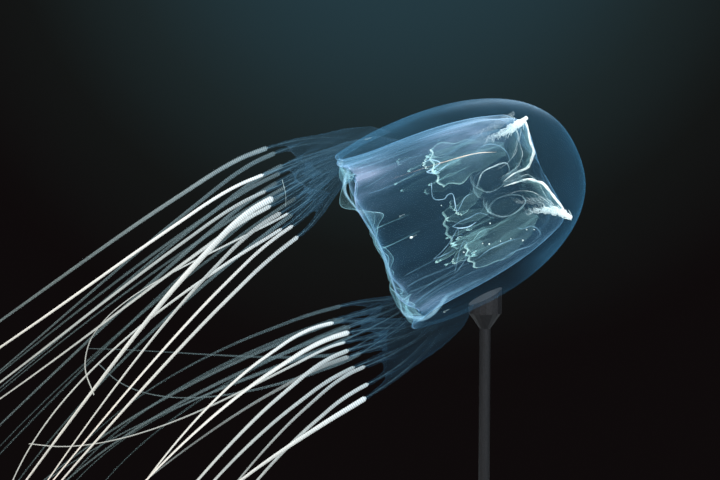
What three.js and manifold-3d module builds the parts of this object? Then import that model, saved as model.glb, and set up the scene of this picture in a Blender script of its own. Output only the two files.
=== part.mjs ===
// A box jellyfish (Chironex fleckeri) at life size, swimming up and to the right with its tentacles trailing
// behind it, held on a museum stand. Millimetres, +Z up, +X the way it swims, -Y its near side.
// The origin is the middle of the underside of the stand's base.
//
// The animal is made upright in the bell's own frame first: +Z up its axis to the apex, the margin at z = 0,
// its four flat faces looking along X and Y, and a hand-shaped pedalium on each of the corners between them.
import * as THREE from "three";
import { mergeVertices } from "three/addons/utils/BufferGeometryUtils.js";
import Module from "manifold-3d";

const wasm = await Module();
wasm.setup();

// ---- Driving dimensions ----
const GAP = 0.3; // between neighbouring solids
const BELL_HEIGHT = 193;
const BELL_HALF_WIDTH = 88; // across a flat face, at the widest
const WIDEST_AT = 42; // height above the margin where the bell is widest
const MARGIN_HALF_WIDTH = 83;
const CAVITY_MOUTH = 77; // half width of the hollow at the margin
const CAVITY_WAIST = 71; // and above its flared mouth
const CAVITY_ROOF = 50; // and at the stomach's roof
const ROOF_HEIGHT = 158; // of the stomach's four corners
const ROOF_DIP = 11; // how much lower its roof is between the corners
const STOMACH_FLOOR = 135;
const CORNERS = 4;
const TENTACLES_PER_PEDALIUM = 9;

// ---- Pose: the axis rises to the right, seen almost square on ----
const TILT = THREE.MathUtils.degToRad(24.5);
const YAW = THREE.MathUtils.degToRad(1);
const ROLL = THREE.MathUtils.degToRad(2);
const MARGIN_CENTRE = new THREE.Vector3(-95, 0, 400);

const pose = new THREE.Matrix4()
  .makeTranslation(MARGIN_CENTRE)
  .multiply(new THREE.Matrix4().makeRotationZ(YAW))
  .multiply(new THREE.Matrix4().makeRotationY(Math.PI / 2 - TILT))
  .multiply(new THREE.Matrix4().makeRotationZ(ROLL));

// ---- Materials ----
const colourOf = (hex, roughness, opacity = 1) =>
  new THREE.MeshStandardMaterial({ color: hex, roughness, metalness: 0, opacity, transparent: opacity < 1 });
const JELLY = colourOf(0x6f9fc4, 0.25, 0.4);
const LINING = colourOf(0xa9c7d6, 0.35, 0.6);
const ORGAN = colourOf(0xb9cfc4, 0.45, 0.8);
const SENSE = colourOf(0xf2f0e8, 0.3);
const TENTACLE = colourOf(0xf1ece2, 0.45);
const STAND = new THREE.MeshStandardMaterial({ color: 0x9a9da0, roughness: 0.35, metalness: 0.9 });

const animal = new THREE.Group();
const part = new THREE.Group();
part.add(animal);

function addPiece(parent, name, geometry, material) {
  const mesh = new THREE.Mesh(geometry, material);
  mesh.name = name;
  parent.add(mesh);
}

// ---- Solids for cutting and joining ----
function solidFrom(geometry) {
  const bare = geometry.index ? geometry.toNonIndexed() : geometry.clone();
  bare.deleteAttribute("normal");
  bare.deleteAttribute("uv");
  const merged = mergeVertices(bare, 1e-3);
  const vertProperties = new Float32Array(merged.attributes.position.array);
  const triVerts = new Uint32Array(merged.index.array);
  return new wasm.Manifold(new wasm.Mesh({ numProp: 3, vertProperties, triVerts }));
}

function geometryFrom(solid) {
  const mesh = solid.getMesh();
  const geometry = new THREE.BufferGeometry();
  geometry.setAttribute("position", new THREE.BufferAttribute(new Float32Array(mesh.vertProperties), 3));
  geometry.setIndex(new THREE.BufferAttribute(new Uint32Array(mesh.triVerts), 1));
  geometry.computeVertexNormals();
  return geometry;
}

function moveVertices(geometry, place) {
  const at = geometry.attributes.position;
  const point = new THREE.Vector3();
  for (let i = 0; i < at.count; i++) {
    point.fromBufferAttribute(at, i);
    place(point);
    at.setXYZ(i, point.x, point.y, point.z);
  }
  geometry.computeVertexNormals();
  return geometry;
}

// ---- Square-sided lathe work ----
// How far a rounded square reaches at an angle, as a multiple of its half width. A higher power is squarer.
function squareReach(angle, power) {
  const sum = Math.abs(Math.cos(angle)) ** power + Math.abs(Math.sin(angle)) ** power;
  return sum ** (-1 / power);
}

// Turns a profile of [half width, height] pairs about the axis, and squares it off.
function squareLathe(profile, segments, powerAt, finish = () => {}) {
  const points = profile.map(([x, z]) => new THREE.Vector2(x, z));
  const geometry = new THREE.LatheGeometry(points, segments).rotateX(Math.PI / 2);
  return moveVertices(geometry, (point) => {
    const angle = Math.atan2(point.y, point.x);
    const reach = squareReach(angle, powerAt(point.z));
    point.x *= reach;
    point.y *= reach;
    finish(point, angle);
  });
}

// 1 between the corners, on the middle line of each face, and 0 at the corners.
const faceShare = (angle) => Math.cos(2 * angle) ** 2;

// ---- Bell ----
const BELL_SEGMENTS = 32;
const bellPower = (z) => 4 - 1.7 * THREE.MathUtils.smoothstep(z, 60, BELL_HEIGHT);
const CAVITY_POWER = 6;

function bellHalfWidth(z) {
  if (z < WIDEST_AT) {
    const share = (WIDEST_AT - z) / WIDEST_AT;
    return BELL_HALF_WIDTH - (BELL_HALF_WIDTH - MARGIN_HALF_WIDTH) * share ** 2;
  }
  const share = (z - WIDEST_AT) / (BELL_HEIGHT - WIDEST_AT);
  return BELL_HALF_WIDTH * (1 - share ** 2.4) ** (1 / 2.4);
}

const FLARE_HEIGHT = 14;

function cavityHalfWidth(z) {
  const flare = (CAVITY_MOUTH - CAVITY_WAIST) * Math.exp(-z / FLARE_HEIGHT);
  return CAVITY_WAIST + flare - (CAVITY_WAIST - CAVITY_ROOF) * (z / ROOF_HEIGHT) ** 3;
}

// The margin hangs lower between the middle of each face and its corners.
function marginHeight(angle) {
  const corner = 1 - faceShare(angle);
  return -3 - 7 * corner + 10 * corner ** 8;
}

function bellOutside(margin) {
  const heights = [0, 20, 45, 75, 105, 130, 150, 166, 178, 187];
  const wall = heights.map((z) => [bellHalfWidth(z) + margin, z === 0 ? -margin : z]);
  const profile = [[0, -margin], ...wall, [0, BELL_HEIGHT + margin]];
  const droop = (point, angle) => {
    if (point.z < 0.01) point.z += marginHeight(angle);
  };
  return solidFrom(squareLathe(profile, BELL_SEGMENTS, bellPower, droop));
}

// The hollow under the bell, drawn in from its wall by a gap, and carried down to a depth below the margin.
function cavity(gap, depth) {
  const heights = [0, 12, 35, 75, 110, 140, ROOF_HEIGHT];
  const wall = heights.map((z) => [cavityHalfWidth(z) - gap, z]);
  const profile = [[0, -depth], [CAVITY_MOUTH - gap, -depth], ...wall, [0, ROOF_HEIGHT - ROOF_DIP / 2]];
  const dipRoof = (point, angle) => {
    if (point.z >= ROOF_HEIGHT - 0.01) point.z -= ROOF_DIP * faceShare(angle);
  };
  return solidFrom(squareLathe(profile, BELL_SEGMENTS, () => CAVITY_POWER, dipRoof));
}

// The sense organs sit in niches in the middle of the faces.
const NICHE_HEIGHT = 26;
const NICHE_RADIUS = 5;
const RHOPALIUM_RADIUS = 2.4;

function onFace(face, distance, z) {
  const angle = (face * Math.PI) / 2;
  return new THREE.Vector3(Math.cos(angle) * distance, Math.sin(angle) * distance, z);
}

function makeBell() {
  let bell = bellOutside(0).subtract(cavity(0, 20));
  for (let face = 0; face < CORNERS; face++) {
    const centre = onFace(face, bellHalfWidth(NICHE_HEIGHT), NICHE_HEIGHT);
    const niche = new THREE.IcosahedronGeometry(NICHE_RADIUS, 0).translate(...centre);
    bell = bell.subtract(solidFrom(niche));
  }
  addPiece(animal, "bell", geometryFrom(bell), JELLY);
}

function makeRhopalia() {
  const distance = bellHalfWidth(NICHE_HEIGHT) - NICHE_RADIUS * 0.8 + RHOPALIUM_RADIUS + GAP;
  for (let face = 0; face < CORNERS; face++) {
    const club = new THREE.SphereGeometry(RHOPALIUM_RADIUS, 6, 4);
    club.translate(...onFace(face, distance, NICHE_HEIGHT));
    addPiece(animal, `rhopalium_${face + 1}`, club, SENSE);
  }
}

// ---- Velarium: the thin scalloped shelf that narrows the mouth, braced by a frenulum on each face ----
const VELARIUM_THICKNESS = 1.2;
const VELARIUM_INNER = 55;
const VELARIUM_DROP = 9;
const FRENULUM_HEIGHT = 24;

function makeVelarium() {
  const rim = CAVITY_MOUTH + 1;
  const under = [[rim, -1.5], [VELARIUM_INNER, -VELARIUM_DROP]];
  const above = under.map(([x, z]) => [x, z + VELARIUM_THICKNESS]).reverse();
  const profile = [...under, ...above, under[0]].reverse();
  const scallop = (point, angle) => {
    const halfWidth = Math.hypot(point.x, point.y) / squareReach(angle, CAVITY_POWER);
    const wave = (Math.cos(2 * CORNERS * angle) * (rim - halfWidth)) / (rim - VELARIUM_INNER);
    point.z += 2 * wave;
    point.x *= 1 + 0.03 * wave;
    point.y *= 1 + 0.03 * wave;
  };
  let shelf = solidFrom(squareLathe(profile, BELL_SEGMENTS, () => CAVITY_POWER, scallop));
  const web = new THREE.Shape([
    new THREE.Vector2(rim, FRENULUM_HEIGHT),
    new THREE.Vector2(cavityHalfWidth(FRENULUM_HEIGHT) - 1, FRENULUM_HEIGHT),
    new THREE.Vector2(VELARIUM_INNER + 4, -VELARIUM_DROP * 0.5),
    new THREE.Vector2(rim, -1),
  ]);
  for (let face = 0; face < CORNERS; face++) {
    const frenulum = new THREE.ExtrudeGeometry(web, { depth: VELARIUM_THICKNESS, bevelEnabled: false });
    frenulum.translate(0, 0, -VELARIUM_THICKNESS / 2).rotateX(Math.PI / 2).rotateZ((face * Math.PI) / 2);
    shelf = shelf.add(solidFrom(frenulum));
  }
  addPiece(animal, "velarium", geometryFrom(shelf.intersect(cavity(GAP, 20))), LINING);
}

// ---- Stomach, manubrium and gastric saccules, which hang in the hollow ----
function makeStomach() {
  const top = ROOF_HEIGHT - 3 * GAP;
  const profile = [
    [0, STOMACH_FLOOR + 5],
    [cavityHalfWidth(STOMACH_FLOOR) - 9, STOMACH_FLOOR],
    [cavityHalfWidth(STOMACH_FLOOR) - 4, STOMACH_FLOOR + 5],
    [CAVITY_ROOF - 0.6, top],
    [0, top - ROOF_DIP / 2],
  ];
  const dipRoof = (point, angle) => {
    if (point.z >= top - 0.01) point.z -= ROOF_DIP * faceShare(angle);
  };
  addPiece(animal, "stomach", squareLathe(profile, BELL_SEGMENTS, () => CAVITY_POWER, dipRoof), ORGAN);
}

function makeManubrium() {
  const lips = [[0, 109], [7, 104], [18, 95], [19, 98], [12, 108]];
  const stalk = [[10, 119], [11, 127], [16, STOMACH_FLOOR - 1], [0, STOMACH_FLOOR + 3]];
  const points = [...lips, ...stalk].map(([x, z]) => new THREE.Vector2(x, z));
  const manubrium = new THREE.LatheGeometry(points, 12).rotateX(Math.PI / 2);
  moveVertices(manubrium, (point) => {
    const angle = Math.atan2(point.y, point.x);
    const flare = 0.3 * (1 - THREE.MathUtils.smoothstep(point.z, 100, 125));
    const reach = 1 + flare * Math.cos(CORNERS * angle);
    point.x *= reach;
    point.y *= reach;
  });
  addPiece(animal, "manubrium", manubrium, ORGAN);
}

const SACCULE_LENGTH = 92;
const SACCULE_THICKNESS = 3;
const SACCULE_LEAN = THREE.MathUtils.degToRad(20); // either side of each corner

// A leaf with finger-like lobes along its outer edge: half width at a share of the way from root to tip.
const leafWidth = (share) => 8 + 11 * Math.sin(Math.PI * share ** 0.8) - 6 * share ** 3;
const leafMiddle = (share) => 35 + 9 * Math.sin(Math.PI * share * 0.8);

function makeSaccules() {
  const steps = 8;
  const outer = [];
  const inner = [];
  for (let i = 0; i <= steps; i++) {
    const share = i / steps;
    const lobe = i % 2 && i < steps ? 3 : 0;
    const z = STOMACH_FLOOR - 1 - SACCULE_LENGTH * share;
    outer.push(new THREE.Vector2(leafMiddle(share) + leafWidth(share) + lobe, z));
    inner.push(new THREE.Vector2(leafMiddle(share) - leafWidth(share), z));
  }
  const outline = new THREE.Shape([...inner, ...outer.reverse()]);
  for (let corner = 0; corner < CORNERS; corner++) {
    for (const side of [-1, 1]) {
      const leaf = new THREE.ExtrudeGeometry(outline, { depth: SACCULE_THICKNESS, bevelEnabled: false });
      leaf.translate(0, 0, -SACCULE_THICKNESS / 2).rotateX(Math.PI / 2);
      leaf.rotateZ(Math.PI / 4 + (corner * Math.PI) / 2 + side * SACCULE_LEAN);
      addPiece(animal, `gastric_saccule_${corner + 1}${side < 0 ? "a" : "b"}`, leaf, ORGAN);
    }
  }
}

// ---- Bent, tapered tubes: a cylinder whose rings are moved onto a stretch of a curve ----
const SIDEWAYS = new THREE.Vector3(0, 1, 0);

function bentTube(curve, from, to, sides, steps, sectionAt) {
  const geometry = new THREE.CylinderGeometry(1, 1, 1, sides, steps);
  const across = new THREE.Vector3();
  const over = new THREE.Vector3();
  return moveVertices(geometry, (point) => {
    const share = THREE.MathUtils.lerp(from, to, 0.5 - point.y);
    const along = curve.getTangentAt(share);
    across.crossVectors(along, SIDEWAYS).normalize();
    over.crossVectors(along, across);
    const { broad, thin, twist } = sectionAt(share);
    const x = point.x * broad;
    const y = point.z * thin;
    curve.getPointAt(share, point);
    point.addScaledVector(across, x * Math.cos(twist) - y * Math.sin(twist));
    point.addScaledVector(over, x * Math.sin(twist) + y * Math.cos(twist));
  });
}

// ---- Pedalia: a webbed palm on each corner that splits into fingers, each ending in a tentacle ----
const CORNER_NAMES = ["lower_far", "upper_far", "upper_near", "lower_near"];
const FINGER_TIP_RADIUS = 3.3;
const WRIST_RADIUS = 7;
const FINGER_SIDES = 4;
const FINGER_STEPS = 3;
const PALM_THICKNESS = 7;
const PALM_BEVEL = 2;
const MOUTH_DEPTH = 13; // the hands keep clear of the velarium, down to here
const SPREAD = [0.86, 0.88, 1, 0.86]; // how widely each hand is opened
const TIP_OUT = [6, 7, -13, 2]; // how much further out each hand's fingertips are held
const TIP_UP = [9, 11, 7, 9]; // and higher
const PALM_ROOT = 92; // out from the axis, where the hands leave the bell
const KEEL = [[2, 56], [20, 51], [38, 36], [50, 10], [56, -20], [59, -46]]; // [out from there, height]
const WEB_EDGE = [[44, -44], [20, -36], [6, -28], [0, -14], [0, 6]];

function cornerFrame(corner) {
  const angle = Math.PI / 4 + (corner * Math.PI) / 2;
  const out = new THREE.Vector3(Math.cos(angle), Math.sin(angle), 0);
  const round = new THREE.Vector3(-Math.sin(angle), Math.cos(angle), 0);
  return (r, t, z) => new THREE.Vector3(0, 0, z).addScaledVector(out, r).addScaledVector(round, t);
}

// Finger 0 is the outermost and lies on the keel. The others stand in two rows, further in by pairs.
function fingerCurve(corner, finger) {
  const at = cornerFrame(corner);
  const rank = Math.ceil(finger / 2);
  const inward = (rank / ((TENTACLES_PER_PEDALIUM - 1) / 2)) ** 0.85;
  const side = finger === 0 ? 0 : finger % 2 ? -1 : 1;
  const tipOut = PALM_ROOT + (65 - 86 * inward + 5 * side) * SPREAD[corner] + TIP_OUT[corner];
  const tipSide = side * (9 + 2 * inward);
  const tipDown = TIP_UP[corner] - 76 - 5 * side * Math.cos(2 * rank) - 4 * Math.sin(3 * corner + rank);
  return new THREE.CubicBezierCurve3(
    at(PALM_ROOT + (20 - 12 * inward) * SPREAD[corner], 0, 26 - 14 * inward),
    at(PALM_ROOT + (49 - 34 * inward) * SPREAD[corner], side * 2, 4 - 18 * inward),
    at(tipOut - 5 + 13 * inward, tipSide * 0.9, tipDown + 34),
    at(tipOut, tipSide, tipDown),
  );
}

function makePalm(corner) {
  const place = ([reach, z]) => {
    const low = (56 - z) / 130;
    return new THREE.Vector2(PALM_ROOT + reach * SPREAD[corner] + low * TIP_OUT[corner], z);
  };
  const outline = new THREE.Shape([...KEEL, ...WEB_EDGE].map(place));
  const blade = new THREE.ExtrudeGeometry(outline, {
    depth: PALM_THICKNESS - 2 * PALM_BEVEL,
    bevelThickness: PALM_BEVEL,
    bevelSize: PALM_BEVEL,
    bevelSegments: 1,
  });
  blade.translate(0, 0, PALM_BEVEL - PALM_THICKNESS / 2).rotateX(Math.PI / 2);
  return solidFrom(blade.rotateZ(Math.PI / 4 + (corner * Math.PI) / 2));
}

// Each hand takes the first length of its own tentacles with it: they are one flesh.
function makePedalia() {
  const keepOff = bellOutside(GAP).add(cavity(-GAP, MOUTH_DEPTH)).transform(pose.toArray());
  const fingerSection = (share) => {
    const radius = THREE.MathUtils.lerp(WRIST_RADIUS, FINGER_TIP_RADIUS, Math.min(1, share * 1.15));
    return { broad: radius, thin: radius, twist: 0 };
  };
  for (let corner = 0; corner < CORNERS; corner++) {
    let hand = makePalm(corner);
    for (let finger = 0; finger < TENTACLES_PER_PEDALIUM; finger++) {
      const curve = fingerCurve(corner, finger);
      hand = hand.add(solidFrom(bentTube(curve, 0, 1, FINGER_SIDES, FINGER_STEPS, fingerSection)));
    }
    hand = hand.transform(pose.toArray());
    for (let finger = 0; finger < TENTACLES_PER_PEDALIUM; finger++) {
      hand = hand.add(solidFrom(tentacleLength(corner, finger, 0, ROOT_SHARE, ROOT_STEPS)));
    }
    addPiece(part, `pedalium_${CORNER_NAMES[corner]}`, geometryFrom(hand.subtract(keepOff)), JELLY);
  }
}

// ---- Tentacles: slightly flat, tapering ribbons that leave the fingers and trail down and back ----
const ROOT_SHARE = 0.14; // of its length, which is one flesh with its finger
const TENTACLE_ROOT = { broad: 2.8, thin: 2.3 };
const TENTACLE_TIP = { broad: 0.7, thin: 0.6 };
const TENTACLE_SIDES = 4;
const TENTACLE_STEPS = 9;
const ROOT_STEPS = 2;

// From the outermost finger inwards: [length, degrees that it falls from root to tip, degrees that its tip
// points down, how far its tip drifts to the far side].
const COURSES = [
  // lower far
  [
    [259, 3, -52, 15],
    [252, 0, -1, 0],
    [346, 31, 58, 25],
    [395, 29, 52, -25],
    [372, 39, 66, 45],
    [413, 34, 60, -30],
    [392, 38, 71, 25],
    [432, 33, 55, -35],
    [401, 38, 74, 35],
  ],
  // upper far
  [
    [593, 33, 29, -15],
    [544, 37, 40, 40],
    [567, 38, 33, -60],
    [515, 38, 46, 20],
    [536, 38, 35, -15],
    [484, 42, 52, 30],
    [506, 42, 44, -45],
    [464, 47, 62, 10],
    [496, 44, 50, -65],
  ],
  // upper near
  [
    [535, 30, 15, -20],
    [496, 35, 29, 20],
    [443, 50, 52, -50],
    [476, 34, 26, 35],
    [429, 51, 57, -30],
    [235, 43, 118, 0],
    [390, 52, 100, -65],
    [429, 48, 52, 5],
    [440, 47, 50, -35],
  ],
  // lower near
  [
    [322, 44, 70, 0],
    [333, 48, 66, -25],
    [305, 51, 66, 30],
    [374, 47, 56, -40],
    [345, 50, 60, 15],
    [384, 43, 60, -60],
    [385, 38, 52, 30],
    [355, 48, 67, -30],
    [306, 19, -9, 40],
  ],
];

function tentacleCurve(corner, finger) {
  const fingerEnd = fingerCurve(corner, finger);
  const start = fingerEnd.getPoint(0.97).applyMatrix4(pose);
  const away = fingerEnd.getTangent(1).transformDirection(pose);
  const [length, fall, arrive, drift] = COURSES[corner][finger];
  const heading = (degrees) => {
    const angle = THREE.MathUtils.degToRad(degrees);
    return new THREE.Vector3(-Math.cos(angle), drift / length, -Math.sin(angle)).normalize();
  };
  const end = start.clone().addScaledVector(heading(fall), length);
  const bow = 0.16 + 0.004 * Math.max(0, arrive - fall);
  return new THREE.CubicBezierCurve3(
    start,
    start.clone().addScaledVector(away, length * bow),
    end.clone().addScaledVector(heading(arrive), -length * 0.35),
    end,
  );
}

function tentacleLength(corner, finger, from, to, steps) {
  const section = (share) => ({
    broad: THREE.MathUtils.lerp(TENTACLE_ROOT.broad, TENTACLE_TIP.broad, share ** 0.8),
    thin: THREE.MathUtils.lerp(TENTACLE_ROOT.thin, TENTACLE_TIP.thin, share ** 0.8),
    twist: finger + 2 * share,
  });
  return bentTube(tentacleCurve(corner, finger), from, to, TENTACLE_SIDES, steps, section);
}

function makeTentacles() {
  for (let corner = 0; corner < CORNERS; corner++) {
    for (let finger = 0; finger < TENTACLES_PER_PEDALIUM; finger++) {
      const from = ROOT_SHARE + GAP / COURSES[corner][finger][0];
      const ribbon = tentacleLength(corner, finger, from, 1, TENTACLE_STEPS);
      addPiece(part, `tentacle_${CORNER_NAMES[corner]}_${finger + 1}`, ribbon, TENTACLE);
    }
  }
}

// ---- Stand: a flat base, and a rod with a shaped cup that carries the bell from below ----
const BASE = { length: 440, width: 250, thickness: 14, corner: 30 };
const ROD_RADIUS = 5;
const CUP_RADIUS = 15;
const CUP_BOTTOM = 318;
const CUP_FLARE = 14;
const CUP_TOP = 385; // inside the bell, whose surface the cup is cut to

function makeStand() {
  const { length, width, thickness, corner } = BASE;
  const bevel = 1.5;
  const halfLength = length / 2 - bevel;
  const halfWidth = width / 2 - bevel;
  const outline = new THREE.Shape();
  outline.absarc(halfLength - corner, halfWidth - corner, corner, 0, Math.PI / 2);
  outline.absarc(corner - halfLength, halfWidth - corner, corner, Math.PI / 2, Math.PI);
  outline.absarc(corner - halfLength, corner - halfWidth, corner, Math.PI, 1.5 * Math.PI);
  outline.absarc(halfLength - corner, corner - halfWidth, corner, 1.5 * Math.PI, 2 * Math.PI);
  const plate = new THREE.ExtrudeGeometry(outline, {
    depth: thickness - 2 * bevel,
    bevelThickness: bevel,
    bevelSize: bevel,
    bevelSegments: 1,
    curveSegments: 4,
  });
  addPiece(part, "stand_base", plate.translate(0, 0, bevel), STAND);

  const rodFoot = thickness + GAP;
  const rod = [[0, rodFoot], [ROD_RADIUS, rodFoot], [ROD_RADIUS, CUP_BOTTOM]];
  const cup = [[CUP_RADIUS, CUP_BOTTOM + CUP_FLARE], [CUP_RADIUS, CUP_TOP], [0, CUP_TOP]];
  const profile = [...rod, ...cup].map(([x, z]) => new THREE.Vector2(x, z));
  const post = new THREE.LatheGeometry(profile, 16).rotateX(Math.PI / 2);
  const keepOff = bellOutside(GAP).transform(pose.toArray());
  addPiece(part, "stand_rod", geometryFrom(solidFrom(post).subtract(keepOff)), STAND);
}

makeBell();
makeRhopalia();
makeVelarium();
makeStomach();
makeManubrium();
makeSaccules();
makePedalia();
makeTentacles();
makeStand();
animal.applyMatrix4(pose);

export default part;
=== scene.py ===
# %% [markdown]
# # A life-size box jellyfish on a museum stand
# The animal is nearly all clear jelly. What the eye reads is not its colour but its edges: each thin sheet
# is faint where it is seen face-on and bright where it turns away. So the lesson is mostly about making
# clean closed sheets, and one family of film-like materials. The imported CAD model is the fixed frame:
# every piece below takes its place from it.

# %% Load the frame
import math
import random
from bisect import bisect_right
from functools import partial
from math import atan2, cos, exp, hypot, pi, sin, sqrt

import bmesh
import bpy
from mathutils import Matrix, Vector
from mathutils.geometry import interpolate_bezier


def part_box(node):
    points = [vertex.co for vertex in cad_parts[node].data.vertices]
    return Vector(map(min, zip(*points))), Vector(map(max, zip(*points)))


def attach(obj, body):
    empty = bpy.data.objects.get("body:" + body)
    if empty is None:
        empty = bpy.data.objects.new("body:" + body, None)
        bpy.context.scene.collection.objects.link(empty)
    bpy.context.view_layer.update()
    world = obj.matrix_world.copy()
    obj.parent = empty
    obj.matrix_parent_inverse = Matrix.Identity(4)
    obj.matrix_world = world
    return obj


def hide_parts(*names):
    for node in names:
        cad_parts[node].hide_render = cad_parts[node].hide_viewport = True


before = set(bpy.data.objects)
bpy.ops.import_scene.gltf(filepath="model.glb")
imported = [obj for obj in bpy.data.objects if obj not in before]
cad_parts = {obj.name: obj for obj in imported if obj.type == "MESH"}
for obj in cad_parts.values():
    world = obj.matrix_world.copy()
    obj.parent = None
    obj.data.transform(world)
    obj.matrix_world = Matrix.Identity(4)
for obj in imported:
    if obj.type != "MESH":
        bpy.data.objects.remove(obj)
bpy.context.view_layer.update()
scene = bpy.context.scene

# %% [markdown]
# The camera stands where the viewer does: on the animal's near side, a hand's width above it. It comes
# first, because it decides how much detail each piece needs. The lens is long, so the bell keeps its shape.

# %% Camera
VIEW_TARGET = Vector((-0.113, 0, 0.398))
VIEW_DISTANCE = 1.5
VIEW_ELEVATION = math.radians(5)
FRAME_WIDTH = 0.648  # metres across, at the target

camera_data = bpy.data.cameras.new("camera")
camera_data.sensor_width = 36
camera_data.lens = camera_data.sensor_width * VIEW_DISTANCE / FRAME_WIDTH
camera = bpy.data.objects.new("camera", camera_data)
back = Vector((0, -cos(VIEW_ELEVATION), sin(VIEW_ELEVATION)))
camera.location = VIEW_TARGET + back * VIEW_DISTANCE
camera.rotation_euler = (-back).to_track_quat("-Z", "Y").to_euler()
scene.collection.objects.link(camera)
scene.camera = camera
print("lens:", round(camera_data.lens, 1), "mm")

# %% [markdown]
# The animal is modelled upright, in millimetres, and then posed: a bell that swims up to the right is
# hard to turn on a lathe, but an upright one is easy. Its four sense organs sit on the middle lines of
# its faces, so their places in the frame give the bell's axes and its centre exactly.

# %% The bell's own frame
ORGAN_HEIGHT = 26  # of the sense organs above the bell's margin
MM = 0.001


def middle(node):
    low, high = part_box(node)
    return (low + high) / 2


lower, far, upper, near = (middle(f"rhopalium_{face}") for face in (1, 2, 3, 4))
x_axis = (lower - upper).normalized()
z_axis = x_axis.cross(far - near).normalized()
turn = Matrix((x_axis, z_axis.cross(x_axis), z_axis)).transposed().to_4x4()
margin_centre = (lower + far + upper + near) / 4 - z_axis * ORGAN_HEIGHT * MM
POSE = Matrix.Translation(margin_centre) @ turn @ Matrix.Scale(MM, 4)
print("margin centre:", [round(v, 4) for v in margin_centre])

# %% [markdown]
# These are the bell's measures, as in the CAD model: how far its outside and its hollow reach at each
# height. A box jellyfish is a rounded square, so the lathe's circle is squared off with a superellipse.
# The margin isn't level: it hangs lower on both sides of each corner.

# %% The shape of the bell
BELL_HEIGHT = 193
WIDEST_HEIGHT, WIDEST_HALF = 42, 88  # where the outside is widest, and its half width there
BELL_ROUNDING = 2.4
ROOF_HEIGHT = 158
ROOF_DIP = 11
CAVITY_POWER = 6  # of the superellipse: 2 would be a circle


def smoothstep(x, low, high):
    share = min(1, max(0, (x - low) / (high - low)))
    return share * share * (3 - 2 * share)


def bump(x, middle, reach):
    return exp(-(((x - middle) / reach) ** 2))


def mix(a, b, share):
    return a + (b - a) * share


def square_reach(angle, power):
    return (abs(cos(angle)) ** power + abs(sin(angle)) ** power) ** (-1 / power)


def bell_power(z):
    return 4 - 1.7 * smoothstep(z, 60, BELL_HEIGHT)


def bell_half_width(z):
    if z < WIDEST_HEIGHT:
        return WIDEST_HALF - 5 * ((WIDEST_HEIGHT - z) / WIDEST_HEIGHT) ** 2
    share = (z - WIDEST_HEIGHT) / (BELL_HEIGHT - WIDEST_HEIGHT)
    return WIDEST_HALF * max(0, 1 - share**BELL_ROUNDING) ** (1 / BELL_ROUNDING)


def cavity_half_width(z):
    return 71 + 6 * exp(-z / 14) - 21 * (max(0, z) / ROOF_HEIGHT) ** 3


def roof_height(x, y):
    """The hollow's roof hangs lower between the corners."""
    return ROOF_HEIGHT - ROOF_DIP * cos(2 * atan2(y, x)) ** 2 * min(1, hypot(x, y) / 30)


def margin_height(angle):
    corner = sin(2 * angle) ** 2
    lift = (10, 10, 15, 19)[int(angle % (2 * pi) // (pi / 2))]
    return -3 - 7 * corner + lift * corner**8


print("widest:", bell_half_width(WIDEST_HEIGHT) * 2, "mm")

# %% [markdown]
# Three ways to give a place in the upright bell: by a corner (how far out, how far round, how high), by
# a face (how far out, how far across, how high), and on the wall of the hollow at an angle.

# %% Places in the bell
CORNERS = ["lower_far", "upper_far", "upper_near", "lower_near"]
NEAR_CORNERS = (2, 3)
FACES = 4  # lower, far, upper and near, in the order of the sense organs
NEAR_FACE = 3


def corner_place(corner, r, t, z):
    angle = pi / 4 + corner * pi / 2
    c, s = cos(angle), sin(angle)
    return Vector((c, s, 0)) * r + Vector((-s, c, 0)) * t + Vector((0, 0, z))


def face_place(face, out, across, z):
    angle = face * pi / 2
    c, s = cos(angle), sin(angle)
    return Vector((c * out - s * across, s * out + c * across, z))


def ring_place(angle, half, z):
    """On a ring that is squared off as the hollow is."""
    reach = square_reach(angle, CAVITY_POWER)
    return Vector((cos(angle) * half * reach, sin(angle) * half * reach, z))


def hollow_place(angle, z, off=0.0):
    return ring_place(angle, cavity_half_width(z) - off, z)


def half_width_at(point, power):
    return hypot(point.x, point.y) / square_reach(atan2(point.y, point.x), power)


def corner_share(place):
    """1 on the bell's corners and 0 on the middle lines of its faces."""
    return sin(2 * atan2(place.y, place.x)) ** 2


print("a corner of the margin:", [round(v) for v in hollow_place(pi / 4, 0)])

# %% [markdown]
# Small helpers. A piece starts from a bmesh in the upright frame, is posed, and then rides on the
# animal's one body. Its upright place is kept as an attribute, so that a streak can follow the bell's
# axis, and so is its milk, which says how milky it is at each vertex. Paths are measured along their
# length, so that bands and tapers keep their pitch.

# %% Finish a piece
def milky_bmesh():
    bm = bmesh.new()
    return bm, bm.verts.layers.float.new("milk")


def finish_piece(name, bm, materials, slot, stands_for=(), posed=True):
    if posed:
        upright = bm.verts.layers.float_vector.new("upright")
        for vert in bm.verts:
            vert[upright] = vert.co
        bmesh.ops.transform(bm, matrix=POSE, verts=bm.verts)
    mesh = bpy.data.meshes.new(name)
    bm.to_mesh(mesh)
    bm.free()
    for material in materials:
        mesh.materials.append(material)
    mesh.shade_smooth()
    piece = bpy.data.objects.new(name, mesh)
    scene.collection.objects.link(piece)
    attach(piece, "root")
    if stands_for:
        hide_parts(*stands_for)
    triangles = sum(len(p.vertices) - 2 for p in mesh.polygons)
    print(f"{name}: {triangles} triangles")


def fan_volume(face, start):
    """Six times the volume between a place and a face."""
    first, *others = (vert.co - start for vert in face.verts)
    return sum(first.dot(a.cross(b)) for a, b in zip(others, others[1:]))


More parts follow.
